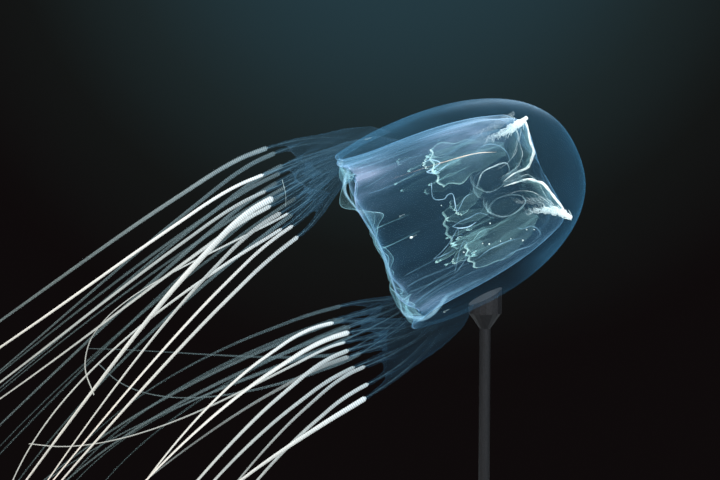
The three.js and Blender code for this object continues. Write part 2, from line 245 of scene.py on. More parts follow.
def turn_outwards(bm):
    """Turns each closed shell's faces outwards. The shell's volume tells if a bent tip has misled it."""
    bmesh.ops.recalc_face_normals(bm, faces=bm.faces)
    left = set(bm.faces)
    while left:
        shell = [left.pop()]
        for face in shell:
            beside = {other for edge in face.edges for other in edge.link_faces} & left
            shell += beside
            left -= beside
        start = shell[0].verts[0].co.copy()
        if sum(fan_volume(face, start) for face in shell) < 0:
            bmesh.ops.reverse_faces(bm, faces=shell)


def finish_closed(name, bm, *rest, **settings):
    """For closed shapes: each shell's faces are turned outwards before the piece is finished."""
    turn_outwards(bm)
    finish_piece(name, bm, *rest, **settings)


# %% Paths
def measured_path(points):
    """Gives the place and the direction at any share of a path's length."""
    lengths = [0]
    for a, b in zip(points, points[1:]):
        lengths.append(lengths[-1] + (b - a).length)
    headings = [(b - a).normalized() for a, b in zip(points, points[1:])]
    between = [(a + b).normalized() for a, b in zip(headings, headings[1:])]
    headings = [headings[0], *between, headings[-1]]

    def at(share):
        distance = min(max(share, 0), 1) * lengths[-1]
        i = bisect_right(lengths, distance, 1, len(points) - 1)
        part = (distance - lengths[i - 1]) / max(1e-9, lengths[i] - lengths[i - 1])
        return points[i - 1].lerp(points[i], part), headings[i - 1].lerp(headings[i], part).normalized()

    at.length = lengths[-1]
    return at


def smooth_points(points, per_span):
    """Rounds a path through its points."""
    ends = [2 * points[0] - points[1], *points, 2 * points[-1] - points[-2]]
    made = []
    for a, b, c, d in zip(ends, ends[1:], ends[2:], ends[3:]):
        for i in range(per_span):
            t = i / per_span
            bend = (2 * a - 5 * b + 4 * c - d) * t**2 + (3 * b - a - 3 * c + d) * t**3
            made.append(0.5 * (2 * b + (c - a) * t + bend))
    return [*made, points[-1].copy()]


def smooth_path(points, per_span=8):
    return measured_path(smooth_points([Vector(p) for p in points], per_span))


def table_at(values, share):
    """Reads a short table of values, eased between its entries."""
    spot = min(max(share, 0), 1) * (len(values) - 1)
    i = min(int(spot), len(values) - 2)
    return mix(values[i], values[i + 1], smoothstep(spot - i, 0, 1))


print("paths ready")

# %% [markdown]
# Nearly everything here is one of three things: a tube along a path, a sheet laid over a grid, or a shape
# turned on a lathe. Each starts from one of bmesh's own shapes and is moved into place.

# %% Tubes, sheets and lathe work
def tube(bm, at, rings, sides, section, sideways, layer=None, paint=None):
    """Rolls a grid into a closed tube along a path. section gives (broad, thin, twist) at a share of it."""
    made = bmesh.ops.create_grid(bm, x_segments=rings, y_segments=sides, size=1)["verts"]
    for vert in made:
        share = (vert.co.x + 1) / 2
        around = pi * (vert.co.y + 1)
        place, heading = at(share)
        across = heading.cross(sideways).normalized()
        over = heading.cross(across)
        broad, thin, twist = section(share)
        x, y = cos(around) * broad, sin(around) * thin
        vert.co = place + across * (x * cos(twist) - y * sin(twist))
        vert.co += over * (x * sin(twist) + y * cos(twist))
        if layer:
            vert[layer] = paint(share)
    bmesh.ops.remove_doubles(bm, verts=made, dist=1e-4 * at.length / rings)
    made = [v for v in made if v.is_valid]
    rims = [e for e in dict.fromkeys(e for v in made for e in v.link_edges) if e.is_boundary]
    bmesh.ops.holes_fill(bm, edges=rims, sides=sides + 2)
    return made


def rounded(size_at, flat=1):
    """A tube's section without a twist: size_at gives half its breadth, and flat is thin over broad."""
    return lambda share: (size_at(share), size_at(share) * flat, 0)


def sheet(bm, columns, rows, place, layer=None, milk_at=None, wrap=False):
    """Lays a grid over a shape. place gives the point at (u, v), both from 0 to 1."""
    made = bmesh.ops.create_grid(bm, x_segments=columns, y_segments=rows, size=1)["verts"]
    for vert in made:
        u, v = (vert.co.x + 1) / 2, (vert.co.y + 1) / 2
        vert.co = place(u, v)
        if layer:
            vert[layer] = milk_at(u, v)
    if wrap:
        bmesh.ops.remove_doubles(bm, verts=made, dist=1e-3)


FILM_THICKNESS = 0.4  # of a modelled sheet, in millimetres


def thicken(bm, thickness):
    """Gives every sheet in the bmesh two faces and a rim."""
    bmesh.ops.recalc_face_normals(bm, faces=bm.faces)
    bmesh.ops.solidify(bm, geom=bm.faces[:], thickness=thickness)


def lathe(profile, steps):
    bm = bmesh.new()
    verts = [bm.verts.new((r, 0, z)) for r, z in profile]
    edges = [bm.edges.new(pair) for pair in zip(verts, verts[1:])]
    turned = {"geom": verts + edges, "cent": (0, 0, 0), "axis": (0, 0, 1), "angle": 2 * pi}
    bmesh.ops.spin(bm, steps=steps, use_merge=True, **turned)
    bmesh.ops.remove_doubles(bm, verts=bm.verts, dist=1e-3)
    bmesh.ops.recalc_face_normals(bm, faces=bm.faces)
    return bm


print("shapes ready")

# %% [markdown]
# The film materials. Light that crosses a sheet at a slant passes through more of it, so a thin sheet
# hides 1 - exp(-thickness / cos) of what is behind it. Layer Weight's Facing is 1 - cos, which gives the
# real look of jelly: almost nothing face-on, and a fine bright line where a wall is seen edge-on. Jelly
# also scatters light through its depth, whichever way its skin faces. That light is painted here: each
# film has a faint even painted glow, an emission that shines whatever the lamps do.

# %% Nodes for the films
def add_node(tree, kind, **settings):
    node = tree.nodes.new(kind)
    for name, value in settings.items():
        setattr(node, name, value)
    return node


def math_node(tree, operation, *values):
    node = add_node(tree, "ShaderNodeMath", operation=operation)
    for socket, value in zip(node.inputs, values):
        if isinstance(value, (int, float)):
            socket.default_value = value
        else:
            tree.links.new(value, socket)
    return node.outputs[0]


def attribute(tree, name, output="Fac"):
    return add_node(tree, "ShaderNodeAttribute", attribute_name=name).outputs[output]


def noise_on(tree, place, scale, stretch=(1, 1, 1), detail=3):
    mapping = add_node(tree, "ShaderNodeMapping")
    mapping.inputs["Scale"].default_value = stretch
    tree.links.new(place, mapping.inputs["Vector"])
    noise = add_node(tree, "ShaderNodeTexNoise")
    noise.inputs["Scale"].default_value = scale
    noise.inputs["Detail"].default_value = detail
    tree.links.new(mapping.outputs[0], noise.inputs["Vector"])
    return noise.outputs["Fac"]


def object_noise(tree, scale, detail=3):
    place = add_node(tree, "ShaderNodeTexCoord").outputs["Object"]
    return noise_on(tree, place, scale, detail=detail)


def ramp(tree, value, stops):
    node = add_node(tree, "ShaderNodeValToRGB")
    elements = node.color_ramp.elements
    while len(elements) < len(stops):
        elements.new(0.5)
    for element, (position, colour) in zip(elements, stops):
        element.position = position
        element.color = (*colour, 1)
    tree.links.new(value, node.inputs[0])
    return node.outputs[0]


def film_cover(tree, thickness, edge):
    """How much a film hides, from its optical thickness face-on.

    With no edge it is a soft rod, which hides most in its middle, where light's way through it is longest.
    """
    calc = partial(math_node, tree)
    cosine = calc("SUBTRACT", 1, add_node(tree, "ShaderNodeLayerWeight").outputs["Facing"])
    if edge:
        depth = calc("DIVIDE", thickness, calc("MAXIMUM", cosine, edge))
    else:
        depth = calc("MULTIPLY", cosine, thickness)
    return calc("SUBTRACT", 1, calc("EXPONENT", calc("MULTIPLY", depth, -1)))


def new_material(name, roughness, specular, painted_glow=(1, 1, 1), strength=0):
    """A material, its node tree and its shader. The painted glow is an emission: painted light that it
    gives out.
    """
    material = bpy.data.materials.new(name)
    material.use_nodes = True
    shader = material.node_tree.nodes["Principled BSDF"]
    values = {"Roughness": roughness, "Specular IOR Level": specular}
    values |= {"Emission Color": (*painted_glow, 1), "Emission Strength": strength}
    for socket, value in values.items():
        shader.inputs[socket].default_value = value
    return material, material.node_tree, shader


# %% Film materials
def film_material(name, clear, milky, thickness, milk, grain, stretch=(1, 1, 1), edge=0.08, painted_glow=0.5):
    """A clear film, or with no edge a soft rod, that turns milky where the piece's milk says so."""
    # Each film gives out a painted glow in its clear colour: an emission that stands in for the light the
    # jelly scatters.
    material, tree, shader = new_material(name, 0.5, 0.08, clear, painted_glow)
    calc = partial(math_node, tree)
    cloud = noise_on(tree, attribute(tree, "upright", "Vector"), grain, stretch, 4)
    cloud = calc("MAXIMUM", calc("MULTIPLY_ADD", cloud, 2.4, -0.7), 0.05)
    milkiness = calc("MULTIPLY", attribute(tree, "milk"), calc("MULTIPLY_ADD", cloud, 1.2, 0.4))
    tint = calc("MULTIPLY_ADD", cloud, 0.08, milkiness)
    tree.links.new(ramp(tree, tint, [(0.0, clear), (0.8, milky)]), shader.inputs["Base Color"])
    amount = calc("MULTIPLY_ADD", cloud, thickness, thickness * 0.5)
    amount = calc("MULTIPLY_ADD", milkiness, milk, amount)
    tree.links.new(film_cover(tree, amount, edge), shader.inputs["Alpha"])
    return material


STREAKS, SOFT_STREAKS = (1, 1, 0.12), (1, 1, 0.4)
BLUE = (0.11, 0.34, 0.56)
TEAL = (0.28, 0.60, 0.62)
# Each: its clear and its milky colour, how thick it looks when clear, what milk adds, and its grain.
GEL = film_material(
    "clear_blue_gel", (0.075, 0.335, 0.60), (0.32, 0.58, 0.86), 0.020, 0.35, 0.02, edge=0.145
)
HAND = film_material("streaked_gel", BLUE, (0.36, 0.60, 0.82), 0.017, 0.06, 0.14, STREAKS, 0.34)
LINING = film_material("muscle_lining", BLUE, (0.56, 0.66, 0.92), 0.010, 0.45, 0.10, STREAKS, 0.06)
MEMBRANE = film_material(
    "velarium_film", (0.24, 0.56, 0.66), (0.60, 0.85, 0.90), 0.013, 0.28, 0.08, edge=0.06
)
ORGAN = film_material("milky_organ", TEAL, (0.80, 0.95, 0.88), 0.005, 0.7, 0.12, SOFT_STREAKS, 0.07)
POUCH = film_material(
    "stomach_film", (0.28, 0.60, 0.64), (0.75, 0.90, 0.90), 0.002, 0.4, 0.10, SOFT_STREAKS, 0.05
)
BUBBLE = film_material("clear_lip", (0.30, 0.55, 0.62), (0.85, 0.95, 0.95), 0.0018, 0.4, 0.10, edge=0.02)
FILAMENT = film_material("white_filament", (0.60, 0.78, 0.80), (0.95, 1.0, 0.95), 0.12, 1.6, 0.3, painted_glow=0.30)
RIM = film_material("white_ridge", (0.60, 0.75, 0.77), (1.0, 0.98, 0.92), 0.03, 2.2, 0.35, painted_glow=0.30)
CREAM = film_material("cream_thread", (0.66, 0.50, 0.38), (1.0, 0.84, 0.68), 0.012, 2.0, 0.3, painted_glow=0.4)
CANAL = film_material("pale_canal", (0.22, 0.50, 0.68), (0.60, 0.80, 0.92), 0.014, 0.8, 0.10, edge=0)
films = (GEL, HAND, LINING, MEMBRANE, ORGAN, POUCH, BUBBLE, FILAMENT, RIM, CREAM, CANAL)
print("films:", [material.name for material in films])

# %% [markdown]
# The bell is a thick-walled square dome, and a hand-shaped pedalium grows out of each of its corners.
# On the animal they are one flesh with no seam. The dome is spun from its profile, out from the apex,
# round the margin and up inside to the roof, and each hand is a palm, nine fingers and the webs between
# them, pushed into it. A voxel remesh then melts them into one closed skin, and a little smoothing
# rounds the joins.

# %% The dome
BELL_STEPS = 96
ROOF_BEND = 115  # where the hollow's walls begin to bend in


def dome_profile():
    outside = [(bell_half_width(z), z) for z in (*range(0, 180, 4), 182, 185, 188, 190, 191.6, 192.6)]
    inside = [(cavity_half_width(z), z) for z in range(2, ROOF_HEIGHT - 1, 4)]
    rim = [(cavity_half_width(0) + 1.5, -1.2), (bell_half_width(0) - 1.5, -1.2)]
    roof = [(46, ROOF_HEIGHT - 1), *((r, ROOF_HEIGHT) for r in (40, 28, 14, 0))]
    return [(0, BELL_HEIGHT), *reversed(outside), *reversed(rim), *inside, *roof]


flesh = lathe(dome_profile(), BELL_STEPS)
for vert in flesh.verts:
    x, y, z = vert.co
    angle = atan2(y, x)
    inner = z < ROOF_HEIGHT + 0.5 and hypot(x, y) < cavity_half_width(z) + 0.1
    reach = square_reach(angle, CAVITY_POWER if inner else bell_power(z))
    vert.co.x, vert.co.y = x * reach, y * reach
    if inner and z > ROOF_BEND:
        vert.co.z -= (ROOF_HEIGHT - roof_height(x, y)) * smoothstep(z, ROOF_BEND, ROOF_HEIGHT - 2)
    vert.co.z += margin_height(angle) * (1 - smoothstep(z, -1, 16))
print("dome:", len(flesh.faces), "faces")

# %% [markdown]
# A hand's nine fingers stand in two rows behind the outermost one, which lies on the keel. They follow
# the same curves as the CAD model's, so that each tentacle finds its fingertip. A web joins each finger
# to the next one in its row, over the first part of its length.

# %% Fingers, palms and webs
FINGERS = 9
SPREAD = [0.86, 0.88, 1, 0.86]
TIP_OUT = [6, 7, -13, 2]
TIP_UP = [9, 11, 7, 9]
PALM_ROOT = 92
KEEL = [(2, 56), (20, 51), (38, 36), (50, 10), (56, -20), (59, -46)]
WEB_EDGE = [(44, -44), (22, -36), (11, -27), (7, -14), (6, 6)]
ROWS = [(0, 1, 3, 5, 7), (0, 2, 4, 6, 8)]
WEBBED = 0.84  # of the fingers' length
PALM_THICKNESS, WEB_THICKNESS = 5.2, 4.6


def finger_points(corner, finger):
    rank = math.ceil(finger / 2)
    inward = (rank / ((FINGERS - 1) / 2)) ** 0.85
    side = 0 if finger == 0 else (-1 if finger % 2 else 1)
    spread = SPREAD[corner]
    tip_out = PALM_ROOT + (65 - 86 * inward + 5 * side) * spread + TIP_OUT[corner]
    tip_side = side * (9 + 2 * inward)
    tip_down = TIP_UP[corner] - 76 - 5 * side * cos(2 * rank) - 4 * sin(3 * corner + rank)
    return interpolate_bezier(
        corner_place(corner, PALM_ROOT + (20 - 12 * inward) * spread, 0, 26 - 14 * inward),
        corner_place(corner, PALM_ROOT + (49 - 34 * inward) * spread, side * 2, 4 - 18 * inward),
        corner_place(corner, tip_out - 5 + 13 * inward, tip_side * 0.9, tip_down + 34),
        corner_place(corner, tip_out, tip_side, tip_down),
        40,
    )


def add_palm(bm, corner):
    rim = []
    for reach, z in KEEL + WEB_EDGE:
        low = (56 - z) / 130
        out = PALM_ROOT + reach * SPREAD[corner] + low * TIP_OUT[corner]
        rim.append(corner_place(corner, out, -PALM_THICKNESS / 2, z))
    face = bm.faces.new([bm.verts.new(co) for co in rim])
    grown = bmesh.ops.extrude_face_region(bm, geom=[face])["geom"]
    across = corner_place(corner, 0, PALM_THICKNESS, 0)
    bmesh.ops.translate(bm, vec=across, verts=[g for g in grown if isinstance(g, bmesh.types.BMVert)])


def add_web(bm, corner, outer, inner):
    paths = [measured_path(finger_points(corner, finger)) for finger in (outer, inner)]

    def place(u, v):
        end = WEBBED * (1 - 0.25 * sin(pi * v))
        return paths[0](u * end)[0].lerp(paths[1](u * end)[0], v)

    web = bmesh.new()
    sheet(web, 14, 5, place)
    bmesh.ops.remove_doubles(web, verts=web.verts, dist=0.05)
    thicken(web, WEB_THICKNESS)
    mesh = bpy.data.meshes.new("web")
    web.to_mesh(mesh)
    web.free()
    bm.from_mesh(mesh)
    bpy.data.meshes.remove(mesh)


finger_section = rounded(lambda share: mix(5.2, 3.0, min(1, share * 1.15)))
for corner in range(4):
    add_palm(flesh, corner)
    for finger in range(FINGERS):
        at = measured_path(finger_points(corner, finger))
        tube(flesh, at, 16, 12, finger_section, corner_place(corner, 0, 1, 0))
    for row in ROWS:
        for outer, inner in zip(row, row[1:]):
            add_web(flesh, corner, outer, inner)
bmesh.ops.recalc_face_normals(flesh, faces=flesh.faces)
print("dome and hands:", len(flesh.faces), "faces")

# %% Melt them into one skin
VOXEL = 2.0  # millimetres
SMOOTHINGS = 12


def remeshed(bm, voxel):
    mesh = bpy.data.meshes.new("flesh")
    bm.to_mesh(mesh)
    bm.free()
    holder = bpy.data.objects.new("flesh", mesh)
    scene.collection.objects.link(holder)
    modifier = holder.modifiers.new("melt", "REMESH")
    modifier.mode = "VOXEL"
    modifier.voxel_size = voxel
    graph = bpy.context.evaluated_depsgraph_get()
    result = bmesh.new()
    result.from_mesh(holder.evaluated_get(graph).to_mesh())
    bpy.data.objects.remove(holder)
    return result


skin = remeshed(flesh, VOXEL)
every_way = {"use_axis_x": True, "use_axis_y": True, "use_axis_z": True}
for _ in range(SMOOTHINGS):
    bmesh.ops.smooth_vert(skin, verts=skin.verts, factor=0.5, **every_way)
print("skin:", len(skin.faces), "faces")

# %% [markdown]
# The lining of the hollow is clearest in the middle of each face. It is milky along the corners, where
# the stomach's pockets run down inside the wall, and most of all where the corners meet the margin. The
# margin itself is a soft pale line all round. On top of that, painted light and shade: the upper near
# side is made milkier, and the lower and far sides clearer.

# %% Paint the milk on the skin
def in_hollow(place):
    low = margin_height(atan2(place.y, place.x)) - 2
    wall = cavity_half_width(place.z) + 2.5
    return low < place.z < ROOF_HEIGHT + 2 and half_width_at(place, CAVITY_POWER) < wall


def corner_painted_light(place):
    """Painted light: the upper near corner is made the milkiest, and the far ones the clearest."""
    if place.y > 0:
        return 0.35
    return 1 if place.x < 0 else 0.68


# Patches of the lining that are milkier than the rest, or clearer: middle, reach, milk.
PATCHES = [
    ((-72, -72, 18), 25, 0.44), ((-62, -62, 100), 34, 0.26), ((64, -66, 22), 17, 0.24),
    ((68, -68, 45), 24, 0.08), ((73, -73, 3), 11, -0.50),
]


def lining_milk(place, above):
    """above is the height over the margin."""
    share = corner_share(place)
    corner = share * corner_painted_light(place)
    end_on = smoothstep(abs(place.x) - abs(place.y), -7, 4)  # the lower and the upper face
    made = 0.13 * corner * share**3 * smoothstep(place.z, 10, 110)
    made += 0.36 * corner * share * exp(-max(0, above - 4) / 13) * (1 - 0.6 * end_on)
    made += 0.24 * exp(-max(0, above) / 2.5) * (1 - 0.95 * end_on)
    made += sum(pale * bump((place - Vector(centre)).length, 0, reach) for centre, reach, pale in PATCHES)
    made -= 0.012 * smoothstep(place.z, 130, 148)
    # Painted light: the lining of the upper face gets a little more milk.
    return made + (0.04 if -place.x > abs(place.y) else 0)


def outside_milk(place, above):
    beside = (1 - 0.85 * corner_share(place) ** 4) * (1 - 0.9 * smoothstep(abs(place.x), 50, 70))
    made = 0.30 * exp(-abs(above) / 2) * beside + 0.003 * smoothstep(place.z, 150, 180)
    # Painted shade: the gel on the lower side is made clearer, and so darker, except near the apex.
    return made - 0.045 * smoothstep(place.x, 20, 75) * (1 - smoothstep(place.z, 90, 150))


def skin_milk(place):
    above = place.z - margin_height(atan2(place.y, place.x))
    if in_hollow(place):
        return lining_milk(place, above)
    if half_width_at(place, 3.4) < 92:
        return outside_milk(place, above)
    # On the hands the milk is painted light and shade: milkier on the upper and near side, clearer on the
    # lower and far side.
    return 0.10 - 0.22 * smoothstep(place.x, -30, 30) - 0.08 * smoothstep(place.y, -30, 30)  # the hands


def skin_material(place):
    """Which of the gel, the lining and the hands' flesh a face belongs to."""
    outside = bell_half_width(max(0, place.z)) + 1.5
    beyond = place.z < -12 or half_width_at(place, bell_power(place.z)) > outside
    return 1 if in_hollow(place) else (2 if beyond else 0)


milk = skin.verts.layers.float.new("milk")
for vert in skin.verts:
    vert[milk] = skin_milk(vert.co)
for face in skin.faces:
    face.material_index = skin_material(face.calc_center_median())
pedalia = [f"pedalium_{name}" for name in CORNERS]
finish_piece("bell_and_hands", skin, [GEL, LINING, HAND], "jelly", ["bell", *pedalia])

# %% [markdown]
# Inside each hand a canal runs down every finger, and finer fibres run beside it. They are what makes
# the clear palm look streaked, so they are real threads in the flesh.

# %% Canals in the hands
THREADS = [(0, 0.36), (2.4, 0.2)]


def hand_thread(corner, finger, sway):
    points = finger_points(corner, finger)
    loose = [1 - i / len(points) for i in range(len(points))]
    shifted = [p + corner_place(corner, sway * 0.5 * k, sway * k, 0) for p, k in zip(points, loose)]
    return smooth_path([*shifted[4::5], points[-1]], 5)


bm, milk = milky_bmesh()
for corner in range(4):
    for finger in range(FINGERS):
        for sway, size in THREADS:
            at = hand_thread(corner, finger, sway)
            section = rounded(lambda share: size * (0.5 + 0.9 * share))
            tube(bm, at, 20, 6, section, corner_place(corner, 0, 1, 0), milk, lambda share: 0.05 * share)
finish_closed("hand_canals", bm, [CANAL], "membrane")

# %% [markdown]
# The velarium is the shelf that narrows the mouth: a thin ring that grows from the margin, held up by a
# web on each face, the frenulum. It isn't flat: between the webs it billows out of the mouth or folds
# back in. Its free edge is given as a table round the ring, and a grid is laid from the margin to it.

# %% Velarium
# Round the ring, in degrees: how far out the free edge is, and how high above the margin.
FREE_EDGE = [
    (0, 59, -5), (14, 61, 4), (27, 59, -9), (38, 62, -2), (52, 62, -10), (64, 59, 3), (78, 60, -4),
    (90, 59, -7), (103, 61, 4), (117, 59, -9), (128, 62, 1), (142, 62, -7), (154, 59, 4), (168, 60, -5),
    (180, 59, -6), (193, 61, 2), (206, 59, -8), (218, 66, -6), (226, 64, -15), (233, 61, -18),
    (240, 58, -1), (246, 56, 11), (253, 58, 4), (262, 61, -3), (270, 60, -5), (278, 61, 0), (286, 62, -3),
    (293, 60, -2), (300, 60, -9), (307, 61, -6), (314, 63, 1), (321, 63, 3), (332, 61, -4), (345, 59, 1),
    (360, 59, -5),
]
RIM_HALF_WIDTH = 76
FRENULUM_HEIGHT = 34
free_edge = smooth_points([Vector(row) for row in FREE_EDGE], 8)


def margin_place(angle, half):
    """On the rolled margin, which hangs down beside each of the near corners."""
    degrees = math.degrees(angle)
    z = margin_height(angle) + 1 - 11 * bump(degrees, 230, 8) - 12 * bump(degrees, 309.5, 6)
    return ring_place(angle, half, z)


def free_edge_at(angle):
    degrees = math.degrees(angle)
    for a, b in zip(free_edge, free_edge[1:]):
        if a.x <= degrees <= b.x:
            spot = a.lerp(b, (degrees - a.x) / max(1e-9, b.x - a.x))
            return spot.y, spot.z
    return free_edge[-1].y, free_edge[-1].z


def velarium_place(u, v):
    angle = 2 * pi * u
    half_end, z_end = free_edge_at(min(angle, 2 * pi - 1e-9))
    half = mix(RIM_HALF_WIDTH, half_end, v) + 0.5 * v * sin(23 * angle)
    place = margin_place(angle, half)
    z = mix(place.z, z_end, v**1.4) - 3 * sin(pi * v) + 0.5 * v * sin(31 * angle)
    return Vector((place.x, place.y, z))


def velarium_milk(u, v):
    # Painted light: the near side of the ring, at its edge and its root most, is made milkier than the far
    # side.
    near = smoothstep(u, 0.54, 0.6) * (1 - smoothstep(u, 0.87, 0.90))
    edge = (0.36 - 0.18 * bump(u, 0.75, 0.1)) * (0.4 + 0.6 * near)
    return 0.03 * near + edge * smoothstep(v, 0.93, 0.98) + 0.06 * near * max(0, 1 - v * 5)


def frenulum_place(face):
    _, edge_height = free_edge_at(face * pi / 2 + 1e-6)

    def place(u, v):
        z = mix(1, FRENULUM_HEIGHT, u)
        reach = 13 * (1 - u) ** 1.5 + 1.5
        out = cavity_half_width(z) + 0.8 - reach * v
        return face_place(face, out, 0.8 * sin(5 * u) * v, z + (edge_height - 1) * (1 - u) * v)

    return place


bm, milk = milky_bmesh()
sheet(bm, 480, 16, velarium_place, milk, velarium_milk, wrap=True)
for face in range(FACES):
    sheet(bm, 20, 8, frenulum_place(face), milk, lambda u, v: 0.04 * (1 - u))
thicken(bm, FILM_THICKNESS)
finish_piece("velarium_frill", bm, [MEMBRANE], "membrane", ["velarium"])

# %% [markdown]
# The margin itself is rolled: a soft pale cord that runs round the mouth, thickest at the near corners.

# %% Margin cord
def near_corner(share):
    """1 at the two near corners of the mouth, which are at 5/8 and 7/8 of the way round."""
    return bump(share, 0.63, 0.03) + bump(share, 0.875, 0.03)


def on_near_face(share):
    return smoothstep(share, 0.60, 0.63) * (1 - smoothstep(share, 0.87, 0.89))


def cord_place(degrees):
    half = cavity_half_width(0) + 1.2 + 3 * bump(degrees, 226, 6)
    return margin_place(math.radians(degrees), half)


def cord_size(share):
    return 0.35 + on_near_face(share) * (0.35 + 1.5 * near_corner(share))


def cord_milk(share):
    # Painted light: only the near face's stretch of the cord is made milky.
    return on_near_face(share) * (0.26 + 0.04 * near_corner(share))


def curl_section(share):
    return mix(2.6, 1.5, share), mix(1.9, 1.0, share), 0


# At the lower near corner the cord curls up into the hollow: x, y, z.
CORNER_CURL = [
    (52, -77, -8), (63, -74, -5), (70, -71, 3), (70.5, -70, 13), (67, -68, 23), (62, -66, 33),
    (61.5, -65, 46), (60.5, -64, 66),
]
CURL_MILK = [0.0, 0.08, 0.24, 0.24, 0.18, 0.11, 0.05, 0.0]
bm, milk = milky_bmesh()
at = measured_path([cord_place(degrees) for degrees in range(0, 361, 2)])
tube(bm, at, 360, 8, rounded(cord_size, 0.8), Vector((0, 0, 1)), milk, cord_milk)
at = smooth_path(CORNER_CURL)
tube(bm, at, 64, 10, curl_section, Vector((1, 1, 0)), milk, partial(table_at, CURL_MILK))
finish_closed("margin_cord", bm, [CANAL], "membrane")

# %% [markdown]
# Down each inside corner of the hollow run a few long soft pleats, from the margin to the stomach. They
# are flat threads laid on the wall, broad at the margin and fading upwards.

# %% Corner pleats
# Each: degrees off the corner at the margin, lowest and highest place, half breadth.
PLEATS = [(-15, 4, 96, 1.3), (-6, 8, 140, 0.8), (2, 4, 124, 1.2), (11, 7, 136, 0.8)]


def pleat_path(corner, offset, low, high):
    points = []
    for i in range(9):
        share = i / 8
        degrees = 45 + 90 * corner + offset * (1 - 0.55 * share)
        degrees += 1.6 * sin(5 * share + offset + corner)
        off = 1.0 + 1.2 * sin(pi * share)
        points.append(hollow_place(math.radians(degrees), mix(low, high, share), off))
    return smooth_path(points, 5)


def pleat_section(broad):
    def section(share):
        swell = sqrt(max(0.02, sin(pi * min(1, share + 0.12))))
        return broad * swell * (1 - 0.4 * share), 0.35 * swell, 1.2

    return section


bm, milk = milky_bmesh()
for corner in range(4):
    outwards = corner_place(corner, 1, 0, 0)
    for *course, broad in PLEATS:
        at = pleat_path(corner, *course)
        tube(bm, at, 48, 8, pleat_section(broad), outwards, milk, lambda share: 0.10 * (1 - share) ** 2)
finish_closed("corner_pleats", bm, [CANAL], "membrane")

# %% [markdown]
# The stomach is a four-lobed pouch under the roof of the bell. Each lobe rises into a corner, and between
# two lobes a deep furrow runs in to the neck. A lathe makes the pouch, and the furrows are pressed in.

# %% Stomach
NECK = 9  # half width of the neck


def press_lobes(point):
    angle = atan2(point.y, point.x)
    lobe = abs(sin(2 * angle)) ** 0.55
    radius = hypot(point.x, point.y)
    full = radius * square_reach(angle, 5)
    pressed = mix(min(full, NECK), full, lobe) if radius > NECK else full
    rise = 13 * (pressed / 64) ** 1.4 * lobe * smoothstep(point.z, 139, 145)
    point.x, point.y, point.z = cos(angle) * pressed, sin(angle) * pressed, point.z + rise


# Out from the middle of its roof, round its edge and back in along its floor.
STOMACH_PROFILE = [
    (0, 145), (10, 144.5), (22, 144.5), (34, 145), (42, 145.5), (46, 145), (48, 142.5), (48.5, 139),
    (47, 136.5), (42, 135.5), (30, 136), (18, 136.5), (9, 136.5), (0, 137),
]
bm = lathe(STOMACH_PROFILE, 160)
milk = bm.verts.layers.float.new("milk")
for vert in bm.verts:
    press_lobes(vert.co)
    vert[milk] = 0.05 * smoothstep(vert.co.z, 150, 160)
finish_piece("stomach_pouch", bm, [POUCH], "stomach", ["stomach"])

# %% [markdown]
# Each lobe of the stomach is edged with a white ridge. On every face two of them come from the corners,
# run in towards each other, and turn down side by side into the neck.

# %% Stomach ridges
# On a face: across, out, up.
RIDGE = [
    (48, 45, 157), (38, 45, 157), (28, 42, 154.5), (19, 38, 153.5), (12, 32, 151.5), (8, 26, 147.5),
    (5.5, 20, 143), (3.5, 14, 133), (2, 12, 121),
]
RIDGE_SIZES = [0.5, 0.9, 1.15, 1.3, 1.35, 1.1, 0.85, 0.5, 0.2]


def ridge_path(face, side):
    points = []
    for i, (across, out, z) in enumerate(RIDGE):
        wave = 0.9 * sin(2.2 * i + 3 * face + side)
        points.append(face_place(face, out, side * across + wave, z + 0.7 * wave - (side > 0) * i * 0.25))
    return smooth_path(points, 8)


def ridge_size(share):
    return table_at(RIDGE_SIZES, share) * (1 + 0.25 * sin(41 * share) * sin(13 * share))


def ridge_milk(share):
    return 0.9 - 0.6 * share**1.5 + 0.25 * sin(29 * share)


bm, milk = milky_bmesh()
for face in range(FACES):
    # The far faces' ridges are made thinner, and their milk cut to 0.12 of the near face's: painted shade.
    strong = 1 if face == NEAR_FACE else 0.12
    section = rounded(lambda share: ridge_size(share) * (0.1 + strong), 0.8)
    upwards = Vector((0, 0, 1)) + face_place(face, 0.6, 0, 0)
    for side in (-1, 1):
        at = ridge_path(face, side)
        tube(bm, at, 72, 8, section, upwards, milk, lambda share: strong * ridge_milk(share))
finish_closed("stomach_ridges", bm, [RIM], "stomach")

# %% [markdown]
# Behind each ridge the lobe's wall hangs as a soft curtain, palest along the ridge.

# %% Lobe walls
def lobe_wall_place(face, side):
    at = ridge_path(face, side)

    def place(u, v):
        spot = at(0.85 * u)[0]
        hang = 11 * v * sin(pi * min(1, 0.15 + 0.85 * u)) ** 0.7
        return spot + face_place(face, -0.25 * hang, -0.3 * side * hang, -hang)

    return place


bm, milk = milky_bmesh()
for face in range(FACES):
    # Painted shade: the far faces' curtains get a tenth of the near face's milk.
    strong = 1 if face == NEAR_FACE else 0.1
    for side in (-1, 1):
        sheet(bm, 48, 12, lobe_wall_place(face, side), milk, lambda u, v: 0.13 * strong * (1 - v) ** 1.5)
thicken(bm, FILM_THICKNESS)
finish_piece("lobe_walls", bm, [ORGAN], "stomach")

# %% [markdown]
# In each corner of the stomach sits a brush of short white filaments, the brightest thing in the bell.
# The brush follows the lobe's outer edge down into the corner. It has a soft solid heart, and the
# filaments stand out from it.

# %% Gastric filaments
FILAMENTS = 110  # in a near corner; a far one has a third of them
BRUSH_SIZES = [1.3, 3.0, 3.6, 2.8, 1.4, 0.4]
BRUSH_MILK = [0.8, 0.6, 0.28, 0.12, 0.04, 0.0]
